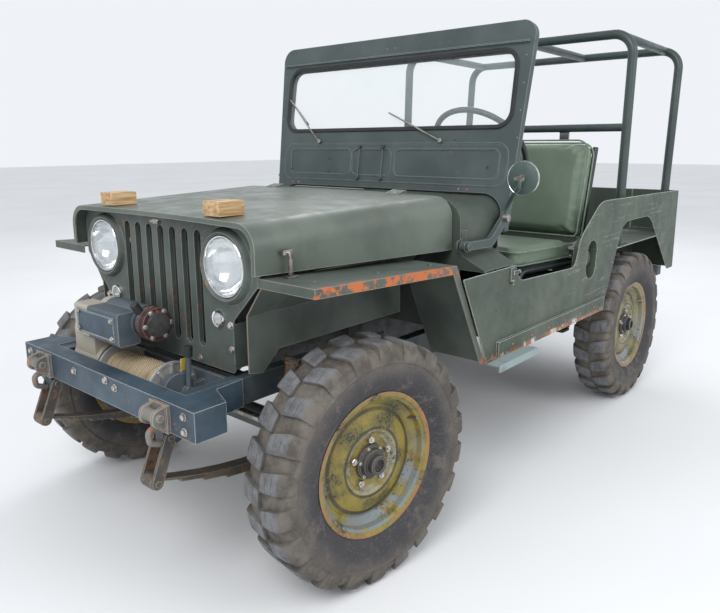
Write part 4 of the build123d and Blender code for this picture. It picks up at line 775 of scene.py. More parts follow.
def tyre_lug():
    """One bar of the tread: crown, buttress and two sipes, as a closed mesh."""
    stations = (
        # x, top radius, bottom radius, half width, side of the sipe; in millimetres
        (3, 374, 356, 24, 0), (8, 375, 356, 26, 0), (18, 375.3, 356, 27.5, 0), (26, 375.3, 356, 28, 0),
        (27, 375.3, 356, 28, 1), (28, 375.3, 356, 28, 0), (40, 375.3, 355, 29, 0),
        (53, 375.1, 352, 29.5, 0), (54, 375.1, 352, 29.5, -1), (55, 375, 352, 29.5, 0),
        (68, 374.2, 346, 30, 0), (77, 370, 340, 30.5, 0), (83.5, 360, 334, 31, 0), (88, 346, 328, 31.5, 0),
        (90.5, 331, 320, 32, 0), (91.6, 321, 316, 32, 0),
    )
    shape = (
        # share of half width, drop below the top
        (-1.0, 1.4), (-0.92, 0.2), (-0.5, 0), (-0.1, 0), (0.1, 0), (0.5, 0), (0.92, 0.2), (1.0, 1.4),
    )
    slant = math.tan(math.radians(14))
    slant_end = 74
    sipe_depth = 5.0
    foot = 2.0
    verts = []
    for x, top, bottom, half, sipe in stations:
        middle = min(x, slant_end) * slant
        ring = [(middle - half - foot, bottom)]
        for share, drop in shape:
            cut = sipe_depth if share * sipe >= 0.5 or (sipe and abs(share) == 0.1) else 0
            ring.append((middle + half * share, top - drop - cut))
        ring.append((middle + half + foot, bottom))
        for arc, r in ring:
            a = arc / TYRE_R / 1000
            verts.append((x / 1000, r * math.sin(a) / 1000, r * math.cos(a) / 1000))
    n = len(shape) + 2
    faces = grid_faces(len(stations), n) + [tuple(range(n)), tuple(range(len(verts) - n, len(verts)))]
    return sharpen(new_piece("tyre_lug", verts, faces), 40)


def radius_layer(piece):
    """Store each point's distance from the wheel's axis on the mesh."""
    mesh = piece.data
    layer = mesh.attributes.new("radius", "FLOAT", "POINT")
    layer.data.foreach_set("value", [math.hypot(v.co.y, v.co.z) for v in mesh.vertices])
    return piece


def tyre_piece():
    """Tyre with two staggered rows of lugs, about X, outer side at +X."""
    right = tyre_lug()
    left = placed(copied(right, "tyre_lug_left"), MIRROR)
    repeated(right, RING, "tyre", Count=LUG_COUNT, Start=0.0)
    repeated(left, RING, "tyre", Count=LUG_COUNT, Start=math.pi / LUG_COUNT)
    return radius_layer(merged("tyre", [tyre_carcass(), right, left]))


def hex_prism(name, radius, depth, chamfer=0.12):
    """Hexagonal head standing on z = 0."""
    rings = ((radius, 0), (radius, depth * (1 - chamfer)), (radius * (1 - chamfer), depth))
    verts = [(x, y, z) for r, z in rings for x, y in circle(r, 6)]
    faces = [tuple(range(6)), tuple(range(12, 18))] + grid_faces(3, 6)
    return new_piece(name, verts, faces, smooth=False)


def cylinder(name, start, end, radius, steps=24):
    """Round bar between two points."""
    a, b = Vector(start), Vector(end)
    length = (b - a).length
    chamfer = min(0.001, radius * 0.2, length * 0.2)
    profile = [(0, 0), (0, radius - chamfer), (chamfer, radius), (length - chamfer, radius),
               (length, radius - chamfer), (length, 0)]
    place = at(*a) @ (b - a).to_track_quat("X", "Z").to_matrix().to_4x4()
    return sharpen(placed(turned(name, profile, steps), place))


def wheel_nuts(radius, x, count, size, depth, start=0.0):
    """Nuts in a circle about X, each with its stud."""
    head = placed(hex_prism("nut", size, depth), at(x, 0, radius) @ Matrix.Rotation(QUARTER, 4, "Y"))
    stud = cylinder("stud", (x, 0, radius), (x + depth * 1.35, 0, radius), size * 0.5, 10)
    return repeated(merged("nut", [head, stud]), RING, "nut", Count=count, Start=start)


def rim_piece(paint):
    """Rim, disc, drum, hub and nuts about X."""
    barrel = [(66, 222.5), (68, 221), (68, 217), (64.5, 208), (58, 203.5), (40, 201.5), (34, 199),
              (27, 189), (20, 180), (-20, 179.5), (-30, 189), (-36, 199), (-60, 203.5), (-65, 212),
              (-68, 222), (-65, 222), (-61, 211), (-57, 199), (-38, 193), (-30, 180), (-22, 172.5),
              (18, 172.5), (29, 182), (38, 194), (56, 197.5), (61, 204), (65, 215)]
    disc = [(19, 178), (22.5, 170), (25, 158), (31, 140), (37.5, 122), (40, 112), (40, 101), (37, 93),
            (31, 88.5), (27.5, 85), (26.5, 78), (26.5, 40), (22, 40), (22, 84), (31, 94), (35, 102),
            (34, 118), (26, 140), (20, 158), (17, 172)]
    drum = [(-58, 129), (10, 129), (17, 122), (21, 108), (21, 28), (14, 28), (14, 116), (-58, 116)]
    hub = [(26, 0), (26, 54), (31, 55), (36.5, 53), (38.5, 46), (50, 42), (53, 38), (53, 31),
           (70, 30.5), (72, 29), (72, 20.5), (60, 19), (60, 0)]
    parts = [lathe(name, paint, profile, crease=28)
             for name, profile in (("rim", barrel), ("disc", eased(disc)), ("drum", drum))]
    parts.append(lathe("hub", "hub", hub, 48, 30))
    parts.append(wheel_nuts(NUT_CIRCLE_R, 0.0265, 5, 0.0115, 0.014))
    parts.append(wheel_nuts(0.0475, 0.0365, 6, 0.0062, 0.006, 0.3))
    valve = cylinder("valve", (0.030, 0.161, 0.093), (0.062, 0.170, 0.098), 0.0045, 12)
    parts.append(painted(valve, "steel"))
    return radius_layer(merged("rim", parts))


def wheel_places():
    """Name, placing and rim finish of each wheel."""
    turn = Matrix.Rotation(REST_STEER, 4, "Z")
    sides = (("left", 1, Matrix()), ("right", -1, MIRROR))
    for name, side, flip in sides:
        pin = at(side * KING_PIN_X, FRONT_AXLE_Y, TYRE_R) @ turn
        yield "front_" + name, pin @ at(side * (WHEEL_X - KING_PIN_X), 0, 0) @ flip, "rim_front"
    for name, side, flip in sides:
        yield "rear_" + name, at(side * WHEEL_X, FRONT_AXLE_Y + WHEELBASE, TYRE_R) @ flip, "rim_rear"


def wheels():
    """Dress the four wheels."""
    tyre = tyre_piece()
    rims = {key: rim_piece(key) for key in ("rim_front", "rim_rear")}
    for name, place, finish in wheel_places():
        for source, node in ((tyre, "tyre_" + name), (rims[finish], "rim_" + name)):
            piece = placed(copied(source, node + "_dressed"), place)
            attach(piece, "wheel_" + name)
            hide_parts(node)
    for source in (tyre, *rims.values()):
        bpy.data.objects.remove(source)


wheels()


# Lamps

def lamps():
    """Headlamps, marker lamps and tail lamps."""
    head = (332, -248, 961)
    marker = (287, -248, 799)
    tail = (590, 2638, 900)
    table = (
        # name, material, place as |x|, distance and z, profile
        ("ring", "chrome", head, [(-8, 93), (-13, 92), (-16, 89), (-15.5, 85.5), (-11, 84), (4, 84),
                                  (4, 93)]),
        ("lens", "lens", head, [(-24, 0), (-23.6, 16), (-22, 36), (-19, 58), (-14.5, 76), (-11, 84),
                                (-8, 84), (-16, 58), (-20, 36), (-21.5, 0)]),
        ("mirror", "reflector", head, [(-9, 84), (4, 82), (22, 72), (40, 54), (52, 34), (56, 14), (56, 0),
                                       (60, 0), (60, 34), (46, 60), (26, 78), (6, 88), (-9, 88)]),
        ("bulb", "reflector", head, [(10, 0), (12, 7), (18, 10), (34, 9), (58, 8), (58, 0)]),
        ("small_ring", "chrome", marker, [(-6, 27), (-10, 25), (-9, 20), (-4, 19.5), (8, 20), (8, 27)]),
        ("small_lens", "lens", marker, [(-19, 0), (-17.5, 9), (-12, 17), (-6, 20.5), (-2, 20.5), (-2, 0)]),
        ("small_body", "steel", marker, [(2, 0), (2, 25), (26, 18), (26, 0)]),
        ("tail_lens", "red_lens", tail, [(31.5, 0), (30.5, 18), (26, 34), (22, 38), (14, 38), (14, 0)]),
        ("tail_body", "frame", tail, [(0, 0), (0, 46), (14, 46), (20, 43), (23, 39), (19, 37), (14, 38),
                                      (14, 0)]),
    )
    parts = []
    for name, key, (x, distance, z), profile in table:
        shape = lathe(name, key, profile, 48)
        for side in (-1, 1):
            parts.append(faced(copied(shape, name), side * x / 1000, distance, z / 1000))
        bpy.data.objects.remove(shape)
    piece = merged("lamps_dressed", parts)
    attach(piece, "chassis")
    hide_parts("lamps")


lamps()


# Winch drum

def new_box(name, low, high, bevel=0.0006):
    """Box between two corners with small bevelled edges."""
    (x0, y0, z0), (x1, y1, z1) = low, high
    verts = [(x, y, z) for x in (x0, x1) for y in (y0, y1) for z in (z0, z1)]
    faces = [(0, 1, 3, 2), (4, 6, 7, 5), (0, 4, 5, 1), (2, 3, 7, 6), (0, 2, 6, 4), (1, 5, 7, 3)]
    box = new_piece(name, verts, faces, smooth=False)
    bm = bmesh.new()
    bm.from_mesh(box.data)
    bmesh.ops.bevel(bm, geom=bm.edges, offset=bevel, segments=2, affect="EDGES", profile=0.5)
    bm.to_mesh(box.data)
    bm.free()
    return box


def shapes(*rows):
    """Painted bars and boxes between two points given as x, distance and z in millimetres."""
    made = []
    for shape, name, key, start, end, *sizes in rows:
        ends = [(x / 1000, fa(distance), z / 1000) for x, distance, z in (start, end)]
        made.append(painted(shape(name, *ends, *sizes), key))
    return made


def winch_drum():
    """Spoked flanges and the wound rope about the drum's shaft."""
    flange = [(0, 17), (0, 30), (3, 32), (3, 76), (0, 79), (0, 86), (8, 86), (8, 17)]
    flange_width = 8
    shaft_r = 17
    pitch = 12.8
    turns = 22
    rope_r = 58.5
    wraps = [(flange_width, shaft_r)]
    for i in range(turns):
        centre = flange_width + pitch * (i + 0.5)
        lift = rope_r + 1.6 * math.sin(i * 2.3) + (1.2 if i % 3 else 0)
        for k in range(7):
            a = math.pi * k / 6
            wraps.append((centre - pitch / 2 * math.cos(a), lift + pitch / 2 * math.sin(a)))
    wraps.append((flange_width + pitch * turns, shaft_r))
    left = lathe("flange", "alloy", flange, 64, 30)
    rope = painted(turned("rope", scaled(wraps), 64), "rope")
    spoke = new_box("spoke", (-0.0025, -0.004, 0.030), (0.004, 0.004, 0.080))
    spokes = repeated(spoke, RING, "alloy", Count=10, Start=0.0)
    other_end = at(0.3, 0, 0) @ MIRROR
    right = placed(copied(left, "flange_right"), other_end)
    right_spokes = placed(copied(spokes, "spokes_right"), other_end)
    piece = merged("winch_drum_dressed", [left, rope, spokes, right, right_spokes])
    placed(piece, at(-0.130, fa(-346), 0.578))
    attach(piece, "winch_drum")
    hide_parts("winch_drum")


winch_drum()


# Studs

def dome(name, radius, height, steps=12):
    """Round rivet head standing on z = 0."""
    rings = [(radius, 0.0), (radius * 0.92, height * 0.45), (radius * 0.55, height * 0.9)]
    verts = [(x, y, z) for r, z in rings for x, y in circle(r, steps)] + [(0, 0, height)]
    faces = [tuple(range(steps))] + grid_faces(len(rings), steps)
    last = (len(rings) - 1) * steps
    faces += [(last + i, last + (i + 1) % steps, len(verts) - 1) for i in range(steps)]
    return new_piece(name, verts, faces)


def bolt_head(name, radius):
    """Hexagonal bolt head on a washer."""
    washer = cylinder("washer", (0, 0, 0), (0, 0, radius * 0.22), radius * 1.35, 20)
    head = placed(hex_prism("head", radius, radius * 0.75), at(0, 0, radius * 0.2))
    return merged(name, [washer, head])


def studs(name, rows, stud, key, body):
    """Copies of a stud at (x, distance, z) rows in millimetres with their aim; rides one body."""
    mesh = bpy.data.meshes.new(name)
    mesh.from_pydata([(x / 1000, fa(d), z / 1000) for x, d, z, *aim in rows], [], [])
    layer = mesh.attributes.new("aim", "FLOAT_VECTOR", "POINT")
    layer.data.foreach_set("vector", [v for row in rows for v in row[3:]])
    piece = repeated(linked(name, mesh), STUDS, key, Stud=stud)
    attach(piece, body)


def both_sides(rows):
    """The rows and their mirror images in x."""
    return rows + [(-x, d, z, -ax, ay, az) for x, d, z, ax, ay, az in rows]


def spread(start, end, count):
    """Evenly spaced numbers from start to end."""
    return [start + (end - start) * i / (count - 1) for i in range(count)]


LEAN = math.radians(8.85)
SCREEN_TOP = Vector((0, fa(946), 1.745))
SCREEN_UP = Vector((0, math.sin(LEAN), math.cos(LEAN)))
SCREEN_OUT = Vector((0, -math.cos(LEAN), math.sin(LEAN)))


def on_screen(x, up, out):
    """Point on the windshield plane, in millimetres across, up from its top edge and out to the front."""
    return Vector((x / 1000, 0, 0)) + SCREEN_TOP + SCREEN_UP * (up / 1000) + SCREEN_OUT * (out / 1000)


def screen_studs(name, places, stud, key):
    """Studs on the front face of the windshield's frame."""
    points = [on_screen(x, up, 13.2) for x, up in places]
    rows = [(p.x * 1000, (p.y - FRONT_AXLE_Y) * 1000, p.z * 1000, *SCREEN_OUT) for p in points]
    studs(name, rows, stud, key, "windshield")


def all_studs():
    """Bolts and rivets of the fixed body, the hood, the windshield and the tailgate."""
    bolt = bolt_head("bolt", 0.0088)
    small = bolt_head("small_bolt", 0.0055)
    rivet = dome("rivet", 0.0045, 0.0022)
    rocker = [(722.5, d, 574, 1, 0, 0) for d in spread(668, 1560, 13)]
    side = ((640, 842), (640, 780), (640, 718), (655, 660), (1545, 985), (1545, 930))
    side_rivets = [(712.2, d, z, 1, 0, 0) for d, z in side]
    side_rivets += [(712.2, d, 1030, 1, 0, 0) for d in spread(1640, 2560, 9)]
    studs("body_rivets", both_sides(rocker[::2] + side_rivets), rivet, "body", "chassis")
    studs("rocker_bolts", both_sides(rocker[1::2]), rivet, "red", "chassis")
    rows = [(x, -496.3, z, 0, -1, 0) for x in (448, 358, 312) for z in (612, 570)]
    rows += [(x, -248.4, z, 0, -1, 0) for x, z in ((340, 712), (340, 786), (180, 655))]
    studs("body_bolts", both_sides(rows), bolt, "nut", "chassis")
    rows = [(x, -496.3, z, 0, -1, 0) for x, z in ((-141, 607), (53, 620), (105, 609))]
    studs("bumper_bolts", rows, bolt, "nut", "chassis")
    rows = [(640, d, z, 0, 0, 1) for d, z in ((-200, 943.6), (60, 931.6), (320, 919.4))]
    rows += [(x, 2639, z, 0, 1, 0) for x, z in ((620, 1010), (690, 1010), (620, 640), (690, 640))]
    studs("small_bolts", both_sides(rows), small, "steel", "chassis")
    places = [(-25, -50), (17, -50)]
    places += [(side, up) for side in (-640, 640) for up in (-130, -230, -330, -430, -600, -690)]
    screen_studs("screen_rivets", places, rivet, "screen")
    screen_studs("screen_red_rivets", [(x, -629) for x in (-536, -498, 407, 447)], rivet, "red")
    places = [(-557, -566), (-312, -517), (-312, -573), (526, -540), (-318, -448), (366, -434)]
    screen_studs("screen_screws", places, rivet, "cast")
    rows = [(x, 2660.2, z, 0, 1, 0) for x in spread(-420, 420, 8) for z in (672, 1018)]
    studs("tailgate_rivets", rows, rivet, "body", "tailgate")
    rows = [(x, 524, 1129.5, 0, -0.2, 1) for x in (-348, -312, 312, 348)]
    studs("hood_rivets", rows, rivet, "hood", "hood")
    for stud in (bolt, small, rivet):
        bpy.data.objects.remove(stud)


all_studs()


# Swept tubes and bands

def swept(name, points, radius, steps=10):
    """Round tube through the points, with closed ends."""
    line = [Vector(p) for p in points]
    verts = []
    side = None
    for i, point in enumerate(line):
        ahead = (line[min(i + 1, len(line) - 1)] - line[max(i - 1, 0)]).normalized()
        if side is None:
            side = ahead.orthogonal().normalized()
        side = (side - ahead * side.dot(ahead)).normalized()
        other = ahead.cross(side)
        verts += [point + side * u + other * v for u, v in circle(radius, steps)]
    ends = [tuple(range(steps)), tuple(range(len(verts) - steps, len(verts)))]
    faces = ends + grid_faces(len(line), steps)
    return sharpen(new_piece(name, verts, faces), 50)


def rounded_loop(half_w, low, high, corner, low_corner=None, steps=8):
    """Closed rounded rectangle as (u, v, normal u, normal v)."""
    low_corner = low_corner or corner
    table = (
        # u, v, start angle, corner radius
        (half_w, high, 0, corner), (-half_w, high, 90, corner),
        (-half_w, low, 180, low_corner), (half_w, low, 270, low_corner),
    )
    loop = []
    for u, v, start, r in table:
        cu = u - math.copysign(r, u)
        cv = v - (r if v == high else -r)
        for i in range(steps + 1):
            a = math.radians(start + 90 * i / steps)
            loop.append((cu + r * math.cos(a), cv + r * math.sin(a), math.cos(a), math.sin(a)))
    return loop


def loop_band(name, key, loop, section, place):
    """A closed band along a loop; section is (outwards, out of plane), place maps to 3-D."""
    verts = [place(u + nu * away, v + nv * away, w) for u, v, nu, nv in loop for away, w in section]
    piece = new_piece(name, verts, grid_faces(len(loop), len(section), around=True))
    return painted(sharpen(piece), key)


# Windshield, wipers and mirror

def windshield_trim():
    """Rubber round the glass, stiffening beads, vent rods with knobs and the seal at the foot."""
    loop = rounded_loop(607, -389, -103, 62)
    section = [(-9, 12), (-9, 16), (-5, 18.5), (5, 18.5), (8, 16), (8, 12)]
    parts = []
    for sign in (1, -1):
        lip = [(away, w * sign) for away, w in section]
        parts.append(loop_band("gasket", "gasket", loop, lip, on_screen))
    ridge = [(-4, 9), (-2, 13.2), (2, 14.4), (6, 13.2), (7, 12)]
    for x, width, low, high, corner in ((-372, 384, -586, -474, 26), (-60, 216, -586, -474, 26),
                                        (322, 500, -586, -474, 26), (2, 1212, -612, -452, 46)):
        bead = [(u + x, v, nu, nv) for u, v, nu, nv in rounded_loop(width / 2, low, high, corner)]
        parts.append(loop_band("bead", "screen", bead, ridge, on_screen))
    for x in (-126, 6):
        rod = cylinder("vent_rod", on_screen(x, -602, 17), on_screen(x, -460, 17), 0.0024, 10)
        parts.append(painted(rod, "screen"))
        for up in (-464, -600):
            knob = cylinder("knob", on_screen(x, up, 12), on_screen(x, up, 23), 0.0085, 16)
            parts.append(painted(knob, "cast"))
    arch_r = 84
    arch = [(604, -770)]
    for x, start in ((520, 0), (-520, 90)):
        for i in range(9):
            a = math.radians(start + 90 * i / 8)
            arch.append((x + arch_r * math.cos(a), -723 + arch_r * math.sin(a)))
    arch.append((-604, -770))
    parts.append(painted(swept("seal", [on_screen(x, up, 3) for x, up in arch], 0.0075), "gasket"))
    piece = merged("windshield_trim", parts)
    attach(piece, "windshield")


def wipers():
    """Two wiper arms with blades and pivots."""
    blades = (
        # start and end along the arm, radius, material, drop towards the glass
        (0.42, 0.98, 0.0032, "steel", 0.004), (0.40, 1.0, 0.0030, "gasket", 0.0095),
    )
    parts = []
    pivot_up = -439
    for pivot_x, tip_x, tip_up in ((-375, -600, -240), (302, 20, -320)):
        knee = on_screen(pivot_x, pivot_up, 26)
        tip = on_screen(tip_x, tip_up, 16)
        start, end = (on_screen(pivot_x, pivot_up, out) for out in (12, 27))
        parts.append(painted(cylinder("pivot", start, end, 0.009, 20), "steel"))
        line = curve_line([knee, knee.lerp(tip, 0.3) + SCREEN_OUT * 0.004, knee.lerp(tip, 0.75), tip], 5)
        parts.append(painted(swept("arm", line, 0.0036, 8), "steel"))
        for start, end, radius, key, drop in blades:
            a = knee.lerp(tip, start) - SCREEN_OUT * drop
            b = knee.lerp(tip, end) - SCREEN_OUT * drop * 0.4
            parts.append(painted(swept("blade", [a, b], radius, 8), key))
    piece = merged("wipers_dressed", parts)
    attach(piece, "windshield")
    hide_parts("wipers")


def mirror():
    """Round mirror: dished back with a wing nut, chrome rim, glass and bent stem."""
    rounds = (
        ("mirror_back", [(-16, 0), (-15, 18), (-11.5, 38), (-5, 55), (0, 59.3), (2, 59.3), (2, 0)]),
        ("chrome", [(-1, 57.5), (-2, 59.6), (2, 60), (6, 59.2), (6.6, 57), (4, 55.5), (2, 56)]),
        ("reflector", [(3, 0), (3, 57), (4.6, 57), (4.6, 0)]),
    )
    parts = [faced(lathe("mirror_part", key, profile, 40), 0.752, 712, 1.184) for key, profile in rounds]
    stem = curve_line([(0.642, fa(804), 1.030), (0.648, fa(800), 1.075), (0.700, fa(744), 1.122),
                       (0.747, fa(693), 1.152), (0.752, fa(692), 1.182)], 6)
    parts.append(painted(swept("mirror_stem", stem, 0.0082, 12), "mirror_back"))
    parts += shapes((cylinder, "mirror_ball", "steel", (752, 684, 1184), (752, 703, 1184), 0.011, 20))
    for side in (-1, 1):
        wing = new_box("wing", (-0.011, -0.002, -0.006), (0.011, 0.002, 0.006), 0.0012)
        lean = Matrix.Rotation(math.radians(24 * side), 4, "Y")
        parts.append(painted(placed(wing, at(0.752 + 0.009 * side, fa(683.5), 1.184) @ lean), "steel"))
    parts += shapes((cylinder, "mirror_clamp", "steel", (632, 804, 1030), (654, 804, 1030), 0.014, 24))
    piece = merged("side_mirror_dressed", parts)
    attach(piece, "windshield")
    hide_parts("side_mirror")


windshield_trim()
wipers()
mirror()


# Winch details

def winch_details():
    """Plain plate, motor end cap with bands and brush cover, case bolts and clutch knob."""
    y, z = -346, 578
    motor_y, motor_z = y + 4, z + 190
    edges = (
        # x from and to, z from and to
        (-205, 20, 788, 792), (-205, 20, 716, 720), (-205, -201, 720, 788), (16, 20, 720, 788),
    )
    bands = (
        # start, end, radius, material
        (52, 58, 0.052, "gasket"), (64, 68, 0.0515, "motor"), (72, 76, 0.0515, "motor"),
        (80, 106, 0.0525, "motor"), (106, 112, 0.038, "cast"),
    )
    parts = shapes(
        (new_box, "plate", "bumper", (-205, y - 94.5, 716), (20, y - 91, 792), 0.001),
        *((new_box, "plate_edge", "bumper", (x0, y - 96, z0), (x1, y - 93, z1), 0.0005)
          for x0, x1, z0, z1 in edges),
        *((cylinder, "motor_band", key, (start, motor_y, motor_z), (end, motor_y, motor_z), radius, 48)
          for start, end, radius, key in bands),
        (cylinder, "brush", "gasket", (62, y - 30, 808), (62, y - 48, 834), 0.013, 20),
        (cylinder, "clutch_knob", "gasket", (216, y + 29, 684), (216, y + 31, 716), 0.013, 20),
        (new_box, "tag", "tag", (198, y + 12, 640), (200.5, y + 44, 676), 0.0005))
    piece = merged("winch_details", parts)
    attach(piece, "chassis")
    bolt = bolt_head("case_bolt", 0.0065)
    case_r, case_z, start = 66, z + 14, 0.2
    angles = [2 * math.pi * i / 8 + start for i in range(8)]
    rows = [(-300.3, y + case_r * math.cos(a), case_z + case_r * math.sin(a), -1, 0, 0) for a in angles]
    rows += [(106.3, motor_y + v, motor_z + w, 1, 0, 0) for v, w in circle(44, 6)]
    rows += [(x, y - 96.3, up, 0, -1, 0) for x in (-195, 10) for up in (726, 782)]
    studs("winch_bolts", rows, bolt, "nut", "chassis")
    bpy.data.objects.remove(bolt)


winch_details()


# Hood catches and latch, harness buckles, dials and door keepers

def catch(side):
    """Hook on the hood, and its base, handle and spring on the body."""
    x, y = side * 0.530, fa(-184)
    hook = new_box("hook", (-0.006, -0.020, -0.006), (0.008, 0.014, 0.008), 0.0015)
    placed(hook, at(side * 0.518, y, 1.012))
    base = new_box("catch_base", (-0.012, -0.020, 0), (0.012, 0.020, 0.006), 0.001)
    placed(base, at(x, y, 0.9425))
    handle = [(x, y, 0.948), (x, y, 1.004), (side * 0.527, fa(-188), 1.014), (side * 0.524, fa(-196), 1.013)]
    coil_r, coil_step, coil_rise = 0.0065, 0.8, 0.0005
    coil = [(x + coil_r * math.cos(i * coil_step), y + coil_r * math.sin(i * coil_step),
             0.950 + i * coil_rise) for i in range(94)]
    shapes = [hook, base, swept("catch_handle", handle, 0.0035), swept("catch_spring", coil, 0.0012, 6)]
    return [painted(shape, "steel") for shape in shapes]


def dial(x, z, r):
    """Ring, face and needle of a dial on the dash."""
    rear = 839 if r > 40 else 836
    ring = [(0, r - 5), (0, r), (5, r + 1), (7, r - 2), (5, r - 5)]
    face = [(0, 0), (0, r - 4), (2.5, r - 4), (2.5, 0)]
    needle = new_box("needle", (-0.0008, 0, -0.1 * r / 1000), (0.0008, 0.001, 0.7 * r / 1000), 0.0002)
    placed(needle, at(x / 1000, fa(rear + 3), z / 1000) @ Matrix.Rotation(0.7, 4, "Y"))
    return [faced(lathe("dial_ring", "chrome", ring, 40), x / 1000, rear, z / 1000),
            faced(lathe("dial_face", "dial", face, 40), x / 1000, rear + 0.5, z / 1000),
            painted(needle, "tag")]


def small_fittings():
    """The small fittings of the hood, and those of the body."""
    moving = []
    fixed = []
    for side in (-1, 1):
        hook, *rest = catch(side)
        moving.append(hook)
        x = side * 335
        fixed += rest + shapes(
            (new_box, "buckle", "chrome", (x - 28, 1929, 1318), (x + 28, 1936, 1362), 0.003),
            (new_box, "buckle_loop", "gasket", (x - 22, 1916, 1352), (x + 22, 1931, 1358), 0.001))
    for x, z, r in ((60, 1010, 48), (150, 1045, 24), (150, 975, 24), (-30, 1045, 24), (-30, 975, 24)):
        fixed += dial(x, z, r)
    moving += shapes(
        (cylinder, "latch", "steel", (22, -292, 1073), (58, -292, 1073), 0.0045, 16),
        (cylinder, "latch_knob", "steel", (56, -292, 1073), (68, -292, 1073), 0.008, 20),
        (new_box, "latch_tab", "steel", (28, -292, 1066), (50, -284, 1080), 0.001))
    keeper = (
        # x, distance and z, each from and to
        (712, 717, 722, 748, 812, 862), (714, 719, 742, 786, 835, 849), (712, 722, 728, 742, 800, 815),
    )
    for side in (-1, 1):
        for x0, x1, y0, y1, z0, z1 in keeper:
            low, high = sorted((side * x0, side * x1))
            fixed += shapes((new_box, "door_keeper", "side", (low, y0, z0), (high, y1, z1), 0.0015))
        start, end = ((side * x, 778, 842) for x in (716, 724))
        fixed += shapes((cylinder, "keeper_pin", "steel", start, end, 0.006, 16))
    piece = merged("hood_fittings", moving)
    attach(piece, "hood")
    piece = merged("body_fittings", fixed)
    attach(piece, "chassis")


small_fittings()


# Seats

def filled(piece, voxel, travel, held):
    """Let a pad's cover swell under pressure; points that held() names stay."""
    remesh = piece.modifiers.new("remesh", "REMESH")
    remesh.mode = "VOXEL"
    remesh.voxel_size = voxel
    plain_mesh(piece)
    start = [v.co.copy() for v in piece.data.vertices]
    pins = piece.vertex_groups.new(name="held")
    pins.add([i for i, co in enumerate(start) if held(co)], 1.0, "REPLACE")
    cloth = piece.modifiers.new("cloth", "CLOTH")
    cloth.settings.use_pressure = True
    cloth.settings.uniform_pressure_force = 4.0
    cloth.settings.effector_weights.gravity = 0.0
    cloth.settings.vertex_group_mass = "held"
    cloth.collision_settings.use_collision = False
    for step in range(1, 21):
        bpy.context.scene.frame_set(step)
    plain_mesh(piece)
    bpy.context.scene.frame_set(1)
    for vertex, before in zip(piece.data.vertices, start):
        move = vertex.co - before
        if move.length > travel:
            vertex.co = before + move * (travel / move.length)
    smoother = piece.modifiers.new("smooth", "SUBSURF")
    smoother.levels = 1
    smoother.render_levels = 1
    plain_mesh(piece)
    piece.data.shade_smooth()
    return painted(piece, "vinyl")


def pad_frame(x, distance, z, run, rise):
    """Map (u, v, w) in millimetres to 3-D from a corner line of a pad; w is out of its face."""
    length = math.hypot(run, rise)
    along = Vector((0, run / length, rise / length))
    out = Vector((0, -rise / length, run / length))
    origin = Vector((x / 1000, fa(distance), z / 1000))
    across = Vector((1, 0, 0))

    def place(u, v, w):
        return origin + across * (u / 1000) + along * (v / 1000) + out * (w / 1000)

    def depth(point):
        return (point - origin).dot(out) * 1000

    return place, depth


def seat_pads():
    """Four stuffed pads with piping along their edges."""
    table = (
        # name, distance, z, run, rise, from, to, corner, low corner, thickness
        ("cushion", 940, 882, 542, -24, 8, 532, 22, 44, 66),
        ("seat_back", 1488, 884, 102, 432, 8, 438, 60, 16, 70),
    )
    half_width = 217
    voxel = 0.0125
    swell = 0.013
    back_layer = 10
    welt_r = 4
    parts = []
    welts = []
    for side in (-395, 395):
        for name, d, z, run, rise, low, high, corner, low_corner, thick in table:
            place, depth = pad_frame(side, d, z, run, rise)
            loop = rounded_loop(half_width, low, high, corner, low_corner)
            count = len(loop)
            verts = [place(u, v, w) for w in (0, -thick) for u, v, nu, nv in loop]
            faces = [tuple(range(count)), tuple(range(count, 2 * count))] + grid_faces(2, count)
            pad = new_piece(name, verts, faces)
            parts.append(filled(pad, voxel, swell, lambda point: depth(point) < back_layer - thick))
            for level in (-5, 8 - thick):
                ring = [(u + 5, v + level) for u, v in circle(welt_r, 8)]
                welts.append(loop_band("piping", "piping", loop, ring, place))
    pads = merged("seat_pads_dressed", parts)
    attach(pads, "chassis")
    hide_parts("seat_pads")
    piping = merged("seat_piping", welts)
    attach(piping, "chassis")


seat_pads()


# Floor, light and camera

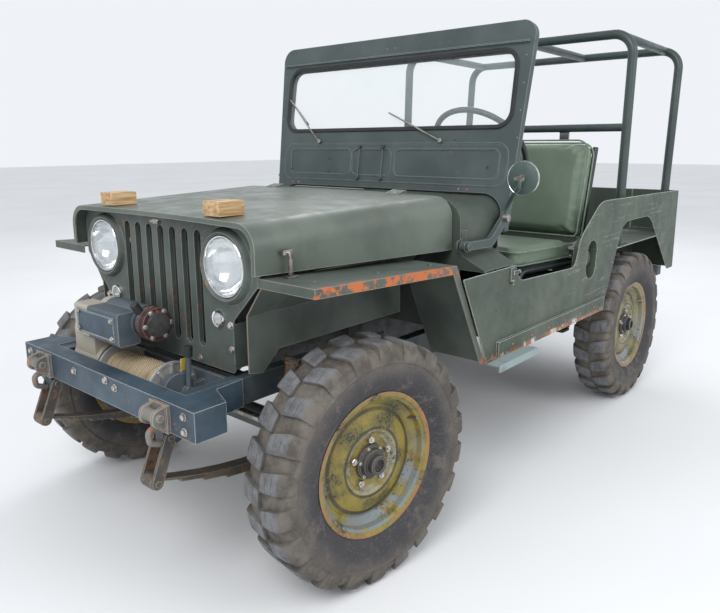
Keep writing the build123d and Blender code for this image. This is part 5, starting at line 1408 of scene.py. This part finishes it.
def studio():
    """Pale floor, even world light and three soft lamps."""
    half = 40
    corners = [(-half, -half, 0), (half, -half, 0), (half, half, 0), (-half, half, 0)]
    floor = painted(new_piece("studio_floor", corners, [(0, 1, 2, 3)]), "floor")
    world = bpy.data.worlds.new("studio")
    bpy.context.scene.world = world
    world.use_nodes = True
    tree = world.node_tree
    path = add_node(tree, "ShaderNodeLightPath").outputs
    seen = most(tree, path["Is Camera Ray"], path["Is Glossy Ray"], path["Is Transmission Ray"])
    strength = ranged(tree, seen, 0.0, 1.0, 0.86, 0.93)
    plug(tree, tree.nodes["Background"], {"Strength": strength, "Color": (0.93, 0.96, 1.0, 1)})
    table = (
        # name, place, aimed at, size, watts
        ("key", (2.2, -5.0, 5.2), (0.0, -0.4, 0.6), 3.2, 210.0),
        ("side", (5.5, 0.5, 3.6), (0.0, 0.2, 0.6), 3.0, 90.0),
        ("back", (-3.5, 4.5, 4.5), (0.0, 0.0, 0.8), 3.0, 110.0),
    )
    for name, place, aim, size, watts in table:
        light = bpy.data.lights.new(name, "AREA")
        light.size = size
        light.energy = watts
        lamp = linked(name, light)
        lamp.location = place
        lamp.rotation_euler = (Vector(aim) - Vector(place)).to_track_quat("-Z", "Y").to_euler()
    bpy.context.scene.view_settings.view_transform = "Standard"


def camera():
    """Camera at the photograph's viewpoint."""
    width = 720
    sensor = 36.0
    yaw, pitch, roll = (math.radians(v) for v in (40.778, 11.719, -0.261))
    data = bpy.data.cameras.new("camera")
    data.sensor_width = sensor
    data.lens = sensor * 674.77 / width
    data.shift_x = -5.632 / width
    data.shift_y = -23.520 / width
    forward = Vector((-math.sin(yaw) * math.cos(pitch), math.cos(yaw) * math.cos(pitch), -math.sin(pitch)))
    right = forward.cross(Vector((0, 0, 1))).normalized()
    up = right.cross(forward)
    side = right * math.cos(roll) + up * math.sin(roll)
    top = up * math.cos(roll) - right * math.sin(roll)
    turn = Matrix((side, top, -forward)).transposed()
    eye = linked("camera", data)
    eye.matrix_world = at(1.8789, -2.5266, 1.3057) @ turn.to_4x4()
    bpy.context.scene.camera = eye


studio()
camera()
